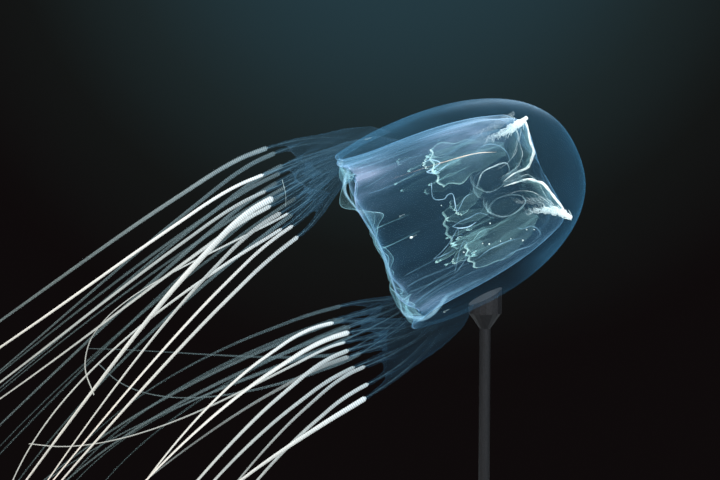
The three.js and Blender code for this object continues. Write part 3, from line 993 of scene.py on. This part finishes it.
# From the corner down and inwards, on the upper side and on the lower side: across, out, up.
BRUSHES = {
    -1: [(-48.5, 46.5, 160), (-47, 45.5, 155), (-46, 45, 148), (-45, 45, 141), (-45, 44, 134),
         (-46, 44, 120)],
    1: [(48.5, 46.5, 160), (43, 46, 156), (38, 45, 151), (34, 44, 144), (31, 43, 136), (29, 42, 128)],
}
random.seed(11)


def brush_at(corner):
    side = -1 if corner in (1, 2) else 1
    far = -1 if corner in NEAR_CORNERS else 1
    return smooth_path([(across, far * out, z) for across, out, z in BRUSHES[side]])


def brush_size(share):
    return table_at(BRUSH_SIZES, share) * (1 + 0.16 * sin(33 * share) + 0.10 * sin(71 * share))


def scattered(*reaches):
    """A random amount in each direction, between its two reaches."""
    return [random.uniform(low, high) for low, high in reaches]


def add_filament(bm, milk, corner):
    share = random.random()
    root = brush_at(corner)(share)[0] + Vector(scattered((-2, 2), (-2, 2), (-2, 1)))
    inwards, across, down = scattered((2, 6), (-2, 2), (0, 4))
    aim = corner_place(corner, -inwards, across, -down)
    bend = corner_place(corner, *scattered((-2, 2), (-2, 2), (-2, 2)))
    bends = ((0.35, 0.4), (0.7, 0.8), (1, 1))
    at = measured_path([root, *(root + aim * a + bend * b for a, b in bends)])
    # Painted shade: the far corners' filaments get 0.03 of the near ones' milk.
    pale = random.uniform(0.05, 0.6) * (1 - share) ** 1.5 * (1 if corner in NEAR_CORNERS else 0.03)
    section = rounded(lambda share: mix(0.42, 0.18, share))
    tube(bm, at, 4, 5, section, Vector((0.3, 0.2, 1)), milk, lambda share: pale)


bm, milk = milky_bmesh()
for corner in range(4):
    near = corner in NEAR_CORNERS
    for _ in range(FILAMENTS if near else FILAMENTS // 3):
        add_filament(bm, milk, corner)
    # Painted shade: the far corners' brushes get 0.02 of the near ones' milk.
    strong = 1 if near else 0.02
    section, sideways = rounded(brush_size, 0.8), Vector((0.2, 1, 0.1))
    tone = partial(table_at, [strong * pale for pale in BRUSH_MILK])
    tube(bm, brush_at(corner), 60, 16, section, sideways, milk, tone)
finish_closed("gastric_filaments", bm, [RIM], "stomach")

# %% [markdown]
# Below the neck the manubrium opens in four thin-walled lips, like soap bubbles: clear in the middle and
# bright round the rim.

# %% Manubrium
# Each lip: middle (x, y, z), half sizes (broad, deep, long) and lean.
LIPS = [
    ((14, 17, 115), (11, 10, 17), -0.10), ((-11, 17, 113), (10, 10, 17), -0.12),
    ((-8, -17, 113), (12, 10, 20), -0.19), ((17, -17, 115), (11, 10, 18), 0.13),
]
# The lips' thick margins, seen from the near side: across, out, up. Then their milk.
LIP_MARGINS = [
    ([(-8, 27, 96), (-18, 26, 106), (-19, 25, 118), (-17, 24, 129), (-8, 24, 128), (-1, 25, 119),
      (0, 27, 105)],
     [0.25, 0.7, 0.9, 0.4, 0.05, 0.1, 0.15, 0.25]),
    ([(15, 27, 96), (9, 26, 105), (9, 25, 117), (14, 24, 128), (21, 24, 131), (26, 25, 121),
      (25, 27, 107)],
     [0.3, 0.15, 0.10, 0.15, 0.25, 0.35, 0.4, 0.3]),
]
NECK_SIZES = [10, 6.5, 5, 4.5, 2]
NECK_MILK = [0.02, 0.14, 0.22, 0.12, 0.0]


def blow_lip(vert, place, half_sizes, lean):
    """Moves a point of a round ball to its place on a lip, and gives its milk."""
    x, y, z = vert.co
    size = 1 - 0.07 * cos(3 * atan2(y, x) + place[0]) * (1 - z * z)
    size *= 1 - 0.22 * z
    offset = Vector((x * half_sizes[0] * size, y * half_sizes[1] * size, z * half_sizes[2]))
    offset.x += lean * offset.z
    vert.co = Vector(place) + offset
    return 0.10 * smoothstep(-z, 0.75, 1)


bm, milk = milky_bmesh()
for lip in LIPS:
    for vert in bmesh.ops.create_uvsphere(bm, u_segments=48, v_segments=32, radius=1)["verts"]:
        vert[milk] = blow_lip(vert, *lip)
# The far side's lip margins are thinner, and get 0.15 of the near side's milk: painted shade.
for far, strong in ((1, 1), (-1, 0.15)):
    section = rounded(lambda share: (0.45 + 0.1 * sin(23 * share)) * (0.5 + 0.5 * strong))
    for margin, tones in LIP_MARGINS:
        points = [(across + 3 * (1 - far), -far * out, z - 1.5 * (1 - far)) for across, out, z in margin]
        at = smooth_path([*points, points[0]])
        tone = partial(table_at, [strong * pale for pale in tones])
        tube(bm, at, 96, 8, section, Vector((0, 1, 0.1)), milk, tone)
neck = smooth_path([(0, 0, z) for z in (141, 136, 130, 124, 119)])
neck_section = rounded(partial(table_at, NECK_SIZES))
tube(bm, neck, 32, 24, neck_section, Vector((1, 0, 0)), milk, partial(table_at, NECK_MILK))
finish_closed("manubrium_lips", bm, [BUBBLE], "stomach", ["manubrium"])

# %% [markdown]
# From the stomach's corners hang the gastric saccules: thin curtains with lobed, bright edges. Each is
# laid along a middle line, with its half width given by a table, and its edges wave more than its middle.

# %% Gastric saccules
# On a face: middle line (across, out, up), half widths along it, frill, and how milky its lower end is.
LEAVES = [
    ([(-30, 34, 132), (-33, 38, 108), (-33, 39, 84), (-33, 38, 62)], [6, 11, 15, 19, 18], 1.5, 0.8),
    ([(-38, 40, 92), (-43, 39, 77), (-48, 38, 65)], [3, 5, 5, 4], 1.2, 1.0),
    ([(-6, 26, 100), (-3, 26, 86), (0, 26, 71)], [3, 5, 5, 4.5], 0.9, 0.7),
    ([(16, 24, 100), (15, 24, 78), (12, 24, 57)], [2, 5, 5.5, 2], 0.7, 0.5),
    ([(32, 36, 133), (40, 41, 110), (42, 43, 88), (42, 44, 68)], [6, 11, 15, 15, 11], 1.6, 0.5),
    ([(28, 38, 88), (27, 36, 64), (31, 36, 36)], [4, 5, 3.5, 0.9], 0.6, 0.5),
    ([(36, 42, 80), (41, 41, 62), (47, 40, 46)], [4, 6, 5, 2.5], 0.9, 0.7),
]


def leaf_place(face, leaf, phase):
    line, widths, frill, _ = leaf
    side = -1 if face % 2 == 0 else 1  # neighbouring faces mirror each other
    points = []
    for i, (across, out, z) in enumerate(line):
        across = side * across + 3 * sin(phase) * i
        points.append(face_place(face, out, across, z - 2 * i * sin(phase + 1)))
    at = smooth_path(points)
    outwards = face_place(face, 1, 0, 0)

    def place(u, v):
        across = 2 * v - 1
        spot, heading = at(u)
        sideways = heading.cross(outwards).normalized()
        lobes = 1 + 0.08 * sin(17 * u + phase + 2 * across) * smoothstep(u, 0.1, 0.3)
        scallop = 1.6 * u**4 * cos(11 * across + phase) + 3.5 * u**3 * across * across
        wave = 0.7 * frill * across * across * sin(9 * u + phase + across)
        wave += 0.6 * frill * u**2 * sin(6 * across + phase)
        spread = sideways * across * table_at(widths, u) * lobes
        return spot + spread + outwards * wave - heading * scallop * frill * 0.6

    return place


def leaf_milk(lower_milk, near):
    def milk_at(u, v):
        across = abs(2 * v - 1)
        # Painted shade: curtains off the near face get less milk, on their edges and over their film.
        side = (0.45 if near else 0.28) * smoothstep(across, 0.93, 0.97) * smoothstep(u, 0.2, 0.9)
        film = 0.02 + 0.03 * (1 - u) ** 2 if near else 0.002
        return film + 0.8 * lower_milk * max(side, smoothstep(u, 0.965, 0.985))

    return milk_at


# By face: where its curtains' waves begin, and how milky they are beside the near face's; the other faces'
# lower milk, least on the far face, is painted shade.
FACE_PHASES = (0, 1.3, 2.9, 4.2)
FACE_MILK = (0.55, 0.35, 0.55, 1)
bm, milk = milky_bmesh()
for face in range(FACES):
    for i, leaf in enumerate(LEAVES):
        place = leaf_place(face, leaf, 2.1 * i + FACE_PHASES[face])
        sheet(bm, 56, 26, place, milk, leaf_milk(leaf[-1] * FACE_MILK[face], face == NEAR_FACE))
thicken(bm, FILM_THICKNESS)
saccules = [f"gastric_saccule_{corner}{side}" for corner in range(1, 5) for side in "ab"]
finish_piece("gastric_saccules", bm, [ORGAN], "stomach", saccules)

# %% [markdown]
# Where a curtain turns over on itself, its edge shows as a soft pale line. These folds are followed one by
# one on the near side. They lie in the plane of the near saccules, so each is given by across and up.

# %% Folds of the curtains
FOLD_DEPTH = 43  # how far out of the bell's middle they lie
# Each: places (across, up), radius, and milk at its ends and between.
FOLDS = [
    ([(-46, 78), (-49, 93), (-51, 108), (-50, 122), (-47, 137)], 2.2, [0.0, 0.05, 0.10, 0.12]),
    ([(-38, 105), (-41, 114), (-40, 122), (-34, 129), (-26, 132), (-19, 131)], 0.5, [0.0, 0.25, 0.3, 0.1]),
    ([(-50, 62), (-49, 69), (-44, 75), (-42, 71), (-41, 64), (-41, 61), (-37, 68), (-39, 79), (-39, 89),
      (-39, 98)], 0.6, [0.3, 0.9, 0.7, 0.3, 0.0]),
    ([(12, 62), (11, 71), (11, 79), (11, 88), (16, 95)], 0.5, [0.3, 0.3, 0.2, 0.1]),
    ([(12, 62), (16, 67), (18, 75), (17, 83)], 0.55, [0.3, 0.9, 0.3]),
    ([(31, 35), (29, 43), (25, 52), (20, 59), (16, 66), (23, 62), (31, 53), (32, 44), (31, 35)],
     0.4, [0.3, 0.2, 0.1, 0.3]),
    ([(51, 47), (42, 53), (33, 60), (28, 67), (36, 66), (44, 59), (51, 48)],
     0.4, [0.25, 0.15, 0.08, 0.25]),
    ([(47, 71), (44, 83), (44, 91), (44, 102), (47, 114)], 0.5, [0.05, 0.25, 0.25, 0.05]),
    ([(60, 81), (56, 94), (55, 106), (56, 117), (54, 129)], 0.6, [0.0, 0.15, 0.15, 0.05]),
    ([(31, 111), (39, 116), (41, 126), (50, 130), (53, 121)], 0.6, [0.0, 0.2, 0.2, 0.0]),
    ([(-31, 61), (-18, 57), (-13, 65), (-15, 70), (-13, 74), (1, 71), (-1, 75), (-7, 83), (-7, 92)],
     0.45, [0.5, 0.6, 0.35, 0.7, 0.4, 0.1]),
]
bm, milk = milky_bmesh()
for points, radius, tones in FOLDS:
    def fold_size(share):
        return radius * (0.35 + 0.65 * sin(pi * share) ** 0.5) * (1 + 0.15 * sin(37 * share))

    at = smooth_path([(across, -FOLD_DEPTH + 1.5 * sin(0.3 * z), z) for across, z in points])
    tube(bm, at, 72, 8, rounded(fold_size, 0.7), Vector((0.1, 1, 0)), milk, partial(table_at, tones))
finish_closed("curtain_folds", bm, [CANAL], "stomach")

# %% [markdown]
# On the middle line of each face two fine canals run up from the margin past the sense organ, a pale
# club no bigger than a peppercorn that hangs in its niche.

# %% Face canals
CANAL_GAP = 3.2  # from the middle line


def canal_path(face, side):
    points = []
    for z in (-2, 8, 16, 26, 36, 46, 56, 66):
        across = side * CANAL_GAP * (1 - 0.35 * smoothstep(z, 30, 66))
        points.append(face_place(face, cavity_half_width(z) + 0.6, across, z))
    return smooth_path(points, 4)


bm, milk = milky_bmesh()
for face in range(FACES):
    section = rounded(lambda share: 0.30 if face == NEAR_FACE else 0.12, 0.8)
    for side in (-1, 1):
        tube(bm, canal_path(face, side), 32, 6, section, face_place(face, 1, 0, 0))
finish_closed("face_canals", bm, [CANAL], "membrane")

# %% Sense organs
ORGAN_DISTANCE = bell_half_width(ORGAN_HEIGHT) - 1.3
bm, milk = milky_bmesh()
for face in range(FACES):
    # The far faces' organs are smaller, and clear where the near one is milky: painted shade.
    pale, size = (1, 1) if face == NEAR_FACE else (0, 0.7)
    for vert in bmesh.ops.create_uvsphere(bm, u_segments=20, v_segments=14, radius=1)["verts"]:
        x, y, z = vert.co * size
        vert.co = face_place(face, ORGAN_DISTANCE + x, y, ORGAN_HEIGHT - 1 + 1.3 * z)
        vert[milk] = pale
    stalk = measured_path([face_place(face, ORGAN_DISTANCE - 0.4, 0, ORGAN_HEIGHT + z) for z in (0, 2, 4)])
    tube(bm, stalk, 6, 8, rounded(lambda share: 0.25), face_place(face, 1, 0, 0))
finish_closed("sense_organs", bm, [FILAMENT], "sense_organ", [f"rhopalium_{face}" for face in range(1, 5)])

# %% [markdown]
# Small marks of this one animal: a string of pale grains down the lining of the near face, a thin cream
# thread down its corner, and a loose wisp that curls out of a hand.

# %% Grains and threads
# Across and up, on the near face.
GRAINS = [
    (33, 61), (37, 69), (33, 79), (36, 84), (38, 94), (40, 103), (46, 112), (39, 119), (42, 125), (20, 92),
    (-12, 60),
]
CREAM_THREAD = [(-49, -55, 32), (-46, -50, 58), (-43, -46, 78), (-38, -42, 106), (-31, -38, 124)]
WISP = [(-90, -85, -54), (-84, -86, -55), (-76, -87, -57), (-68, -87, -61)]


def add_thread(bm, milk, points, sizes, tones):
    section = rounded(lambda share: table_at(sizes, share) * (1 + 0.25 * sin(30 * share)))
    tube(bm, smooth_path(points), 64, 6, section, Vector((0.1, 1, 0.2)), milk, partial(table_at, tones))


bm, milk = milky_bmesh()
for i, (across, z) in enumerate(GRAINS):
    place = Vector((across, 2.0 - cavity_half_width(z), z))
    for vert in bmesh.ops.create_icosphere(bm, subdivisions=3, radius=0.42 + 0.22 * (i % 3 == 0))["verts"]:
        vert.co += place
        vert[milk] = 0.5
add_thread(bm, milk, WISP, [0.24, 0.17, 0.10], [0.05, 0.05])
finish_closed("grains_and_wisp", bm, [FILAMENT], "membrane")
bm, milk = milky_bmesh()
add_thread(bm, milk, CREAM_THREAD, [0.12, 0.18, 0.24, 0.34, 0.36, 0.1], [0.02, 0.03, 0.06, 0.5, 0.9, 0.5])
finish_closed("cream_thread", bm, [CREAM], "membrane")

# %% [markdown]
# Tentacles. Each leaves its fingertip as a blunt, banded ribbon and trails away, twisting, to a fine tip.
# The CAD node is a coarse length of the same ribbon, so its rings give the course: a copy is merged, its
# nearest cap found, and the rings are walked one after another. The part inside the fingertip is added.

# %% Tentacle courses
RING_REACH = 0.008  # takes in the whole of the first ring, and nothing of the next


def ring_centres(node, start):
    """The middles of a tube's rings, in order from the end that is nearest to start."""
    bm = bmesh.new()
    bm.from_mesh(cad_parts[node].data)
    bmesh.ops.remove_doubles(bm, verts=bm.verts, dist=1e-5)
    first = min(bm.verts, key=lambda v: (v.co - start).length)
    ring = [v for v in bm.verts if (v.co - first.co).length < RING_REACH]
    seen, centres = set(), []
    while ring:
        seen.update(ring)
        centres.append(sum((v.co for v in ring), Vector()) / len(ring))
        beside = dict.fromkeys(e.other_vert(v) for v in ring for e in v.link_edges)
        ring = [v for v in beside if v not in seen]
    bm.free()
    if (centres[-1] - centres[-2]).length < 0.002:
        centres.pop()
    return centres


def tentacle_path(corner, finger):
    tip = [POSE @ p for p in finger_points(corner, finger)]
    rings = ring_centres(f"tentacle_{CORNERS[corner]}_{finger + 1}", tip[-1])
    start, heading = tip[-2], (tip[-1] - tip[-3]).normalized()
    gap = (rings[0] - start).length
    leaving = start + heading * gap * 0.38
    arriving = rings[0] - (rings[1] - rings[0]).normalized() * gap * 0.35
    lead = interpolate_bezier(start, leaving, arriving, rings[0], 9)
    return smooth_points(lead[:-1:2] + rings, 12)


path = tentacle_path(2, 0)
print("first course:", len(path), "points,", round(measured_path(path).length, 3), "m")

# %% [markdown]
# The bands are rings of stinging cells. They are real ridges here, about two millimetres apart, and the
# finish follows attributes: the distance from the root, so that it bends with the ribbon, and how pale
# the ribbon is there, from a dim teal film to thick cream.

# %% Tentacle finish
BAND_PITCH = 0.0019
BANDED_LENGTH = 0.11  # from the root, over which the bands fade
# Colours of the bands' crests and troughs by how pale the ribbon is, and their tint along it.
CREST = [
    (0.0, (0.07, 0.13, 0.15)), (0.35, (0.26, 0.34, 0.36)), (0.7, (0.62, 0.65, 0.62)),
    (1.0, (0.95, 0.88, 0.80)),
]
TROUGH = [
    (0.0, (0.03, 0.07, 0.08)), (0.35, (0.10, 0.15, 0.18)), (0.7, (0.25, 0.31, 0.36)),
    (1.0, (0.45, 0.50, 0.55)),
]
WARMTH = [
    (0.0, (0.78, 0.92, 1.0)), (0.10, (0.95, 0.97, 0.95)), (0.25, (1.0, 0.94, 0.85)),
    (0.5, (1.0, 0.86, 0.79)),
]


def blended(tree, factor, a, b, blend_type="MIX"):
    node = add_node(tree, "ShaderNodeMix", data_type="RGBA", blend_type=blend_type)
    if isinstance(factor, (int, float)):
        node.inputs["Factor"].default_value = factor
    else:
        tree.links.new(factor, node.inputs["Factor"])
    tree.links.new(a, node.inputs["A"])
    tree.links.new(b, node.inputs["B"])
    return node.outputs["Result"]


def ribbon_material(name, cover, painted_glow, strength):
    material, tree, shader = new_material(name, 0.42, 0.25, painted_glow, strength)
    calc = partial(math_node, tree)
    along, pale = attribute(tree, "along"), attribute(tree, "pale")
    wave = calc("COSINE", calc("MULTIPLY", along, 2 * pi / BAND_PITCH))
    contrast = calc("MAXIMUM", calc("SUBTRACT", 1, calc("DIVIDE", along, BANDED_LENGTH)), 0.08)
    band = calc("MULTIPLY_ADD", calc("MULTIPLY", wave, contrast), 0.5, 0.5)
    band = calc("MULTIPLY_ADD", object_noise(tree, 45), 0.5, calc("SUBTRACT", band, 0.22))
    clamped = calc("MINIMUM", calc("MAXIMUM", band, 0), 1)
    colour = blended(tree, clamped, ramp(tree, pale, TROUGH), ramp(tree, pale, CREST))
    colour = blended(tree, 1, colour, ramp(tree, along, WARMTH), "MULTIPLY")
    tree.links.new(colour, shader.inputs["Base Color"])
    dense = calc("MULTIPLY_ADD", calc("MULTIPLY", pale, pale), 2.6, 0.22)
    thickness = calc("MULTIPLY", dense, calc("MULTIPLY_ADD", band, cover, cover * 0.5))
    tree.links.new(film_cover(tree, thickness, 0), shader.inputs["Alpha"])
    return material


# Both ribbons give out a painted glow. The far ribbon is a shaded copy of the cream one, less opaque and
# with a dim teal glow: painted shade.
NEAR_RIBBON = ribbon_material("cream_ribbon", 1.5, (1.0, 0.90, 0.78), 0.17)
SHADED_FAR_RIBBON = ribbon_material("teal_ribbon_painted_shade", 0.9, (0.09, 0.17, 0.16), 0.10)
print("ribbons:", NEAR_RIBBON.name, SHADED_FAR_RIBBON.name)

# %% [markdown]
# No two tentacles are alike: one is broad and pale, its neighbour thin and dim. The table gives each one's
# half breadth, and how pale it is at its root, its middle and its end. The far corners' low paleness is
# painted shade: those ribbons are made dim, and the near ones pale.

# %% Tentacles
TIP_BROAD, TIP_THIN = 0.0007, 0.0005
FLATNESS = 0.45  # of a ribbon at its root
ROOT_ROUNDING = 0.0025  # the length over which the root swells
TWIST = 1.8  # over a ribbon's length, one way or the other
RELIEF, RELIEF_LENGTH = 0.05, 0.06  # how far the bands stand out at the root, and how soon they fade
# Each: half breadth in tenths of a millimetre, then how pale it is, in hundredths; the far rows' low
# paleness is painted shade.
RIBBONS = [
    # lower far
    [(24, 30, 30, 35), (20, 25, 20, 20), (22, 25, 20, 15), (20, 30, 25, 25), (22, 20, 15, 15),
     (24, 30, 30, 25), (20, 20, 20, 20), (22, 25, 25, 30), (20, 25, 20, 15)],
    # upper far
    [(26, 50, 40, 35), (22, 30, 20, 20), (24, 35, 30, 20), (22, 25, 20, 15), (24, 30, 25, 30),
     (20, 20, 15, 15), (24, 25, 30, 20), (22, 30, 20, 20), (20, 20, 15, 15)],
    # upper near
    [(15, 90, 85, 80), (16, 50, 50, 55), (29, 80, 80, 85), (19, 70, 60, 55), (21, 60, 80, 95),
     (12, 70, 60, 60), (15, 80, 65, 60), (16, 90, 95, 100), (19, 70, 85, 100)],
    # lower near
    [(24, 85, 90, 90), (19, 50, 55, 60), (19, 55, 60, 55), (20, 60, 65, 60), (18, 50, 50, 60),
     (24, 80, 90, 85), (22, 35, 25, 25), (17, 85, 85, 80), (13, 70, 60, 60)],
]


def make_tentacle(corner, finger):
    at = measured_path(tentacle_path(corner, finger))
    broad, *tones = RIBBONS[corner][finger]
    broad *= MM / 10
    rings = int(at.length / BAND_PITCH) * 2

    def section(share):
        distance = share * at.length
        swell = sqrt(min(1, distance / ROOT_ROUNDING + 0.15))
        relief = RELIEF * exp(-distance / RELIEF_LENGTH)
        size = swell * (1 + relief * cos(2 * pi * distance / BAND_PITCH))
        taper = share**0.8
        twist = 0.35 * sin(2.3 * finger + corner) + (TWIST if finger % 2 else -TWIST) * share
        thin = mix(broad * FLATNESS, TIP_THIN, taper)
        return mix(broad, TIP_BROAD, taper) * size, thin * size, twist

    bm = bmesh.new()
    distances = bm.verts.layers.float.new("along")
    pale = bm.verts.layers.float.new("pale")
    sideways = Vector((0, 1, 0))
    for vert in tube(bm, at, rings, 8, section, sideways, distances, lambda share: share * at.length):
        vert[pale] = table_at(tones, vert[distances] / at.length) / 100
    name = f"{CORNERS[corner]}_{finger + 1}"
    # The far corners' tentacles take the shaded copy of the ribbon: painted shade.
    material = NEAR_RIBBON if corner in NEAR_CORNERS else SHADED_FAR_RIBBON
    finish_closed(f"ribbon_{name}", bm, [material], "tentacle", [f"tentacle_{name}"], posed=False)


for corner in range(4):
    for finger in range(FINGERS):
        make_tentacle(corner, finger)

# %% [markdown]
# The stand keeps its CAD shape. It is powder-coated: satin black, with a fine even texture.

# %% Stand finish
def stand_material():
    material, tree, shader = new_material("satin_black_coat", 0.5, 0.2)
    grain = object_noise(tree, 900, detail=2)
    shades = [(0.3, (0.010, 0.010, 0.011)), (0.7, (0.022, 0.022, 0.024))]
    tree.links.new(ramp(tree, grain, shades), shader.inputs["Base Color"])
    texture = add_node(tree, "ShaderNodeBump")
    texture.inputs["Strength"].default_value = 0.15
    texture.inputs["Distance"].default_value = 0.0002
    tree.links.new(grain, texture.inputs["Height"])
    tree.links.new(texture.outputs[0], shader.inputs["Normal"])
    return material


coat = stand_material()
for node in ("stand_base", "stand_rod"):
    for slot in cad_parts[node].material_slots:
        slot.material = coat
print("stand coated")

# %% [markdown]
# Light and room. Jelly needs a dark room: against a pale wall it would vanish. The room is a deep
# teal-black, and a soft light on each side and one behind graze the sheets. The floor is a plain pale
# round, small enough to stay under the stand.

# %% Room
world = bpy.data.worlds.new("dark_room")
scene.world = world
world.use_nodes = True
GLOW_SIDE = Vector((0.024, 1, 0.14)).normalized()  # the wall behind is faintly lit, high up
WALL_SHADES = [
    (0.955, (0.0045, 0.0032, 0.0034)), (0.974, (0.0070, 0.0082, 0.0080)),
    (0.986, (0.0125, 0.0215, 0.0235)), (0.998, (0.0190, 0.0450, 0.0580)),
]
wall = world.node_tree
towards = add_node(wall, "ShaderNodeVectorMath", operation="DOT_PRODUCT")
towards.inputs[1].default_value = GLOW_SIDE
wall.links.new(add_node(wall, "ShaderNodeTexCoord").outputs["Generated"], towards.inputs[0])
shade = ramp(wall, towards.outputs["Value"], WALL_SHADES)
wall.links.new(shade, wall.nodes["Background"].inputs["Color"])

FLOOR_RADIUS = 0.70
bm = bmesh.new()
bmesh.ops.create_circle(bm, cap_ends=True, segments=128, radius=FLOOR_RADIUS)
bmesh.ops.translate(bm, vec=(-0.13, 0, -0.001), verts=bm.verts)
floor_mesh = bpy.data.meshes.new("floor")
bm.to_mesh(floor_mesh)
bm.free()
floor = bpy.data.objects.new("floor", floor_mesh)
scene.collection.objects.link(floor)
paint, _, shader = new_material("pale_floor", 0.8, 0.5)
shader.inputs["Base Color"].default_value = (0.55, 0.56, 0.55, 1)
floor.data.materials.append(paint)
print("floor:", FLOOR_RADIUS * 2, "m across")

# %% Lights
def area_light(name, place, aim, size, power, colour=(1, 1, 1)):
    data = bpy.data.lights.new(name, "AREA")
    data.shape = "DISK"
    data.size = size
    data.energy = power
    data.color = colour
    lamp = bpy.data.objects.new(name, data)
    lamp.location = place
    lamp.rotation_euler = (Vector(aim) - Vector(place)).to_track_quat("-Z", "Y").to_euler()
    scene.collection.objects.link(lamp)


area_light("key", (-0.7, -1.0, 1.2), (-0.15, 0, 0.4), 0.6, 24)
area_light("fill", (0.9, -0.9, 0.7), (-0.1, 0, 0.4), 0.8, 14, (0.85, 0.93, 1))
area_light("back", (0.3, 1.1, 1.2), (-0.1, 0, 0.4), 0.8, 26, (0.8, 0.92, 1))
scene.cycles.transparent_max_bounces = 48
scene.view_settings.view_transform = "Standard"
print("lights: 3")
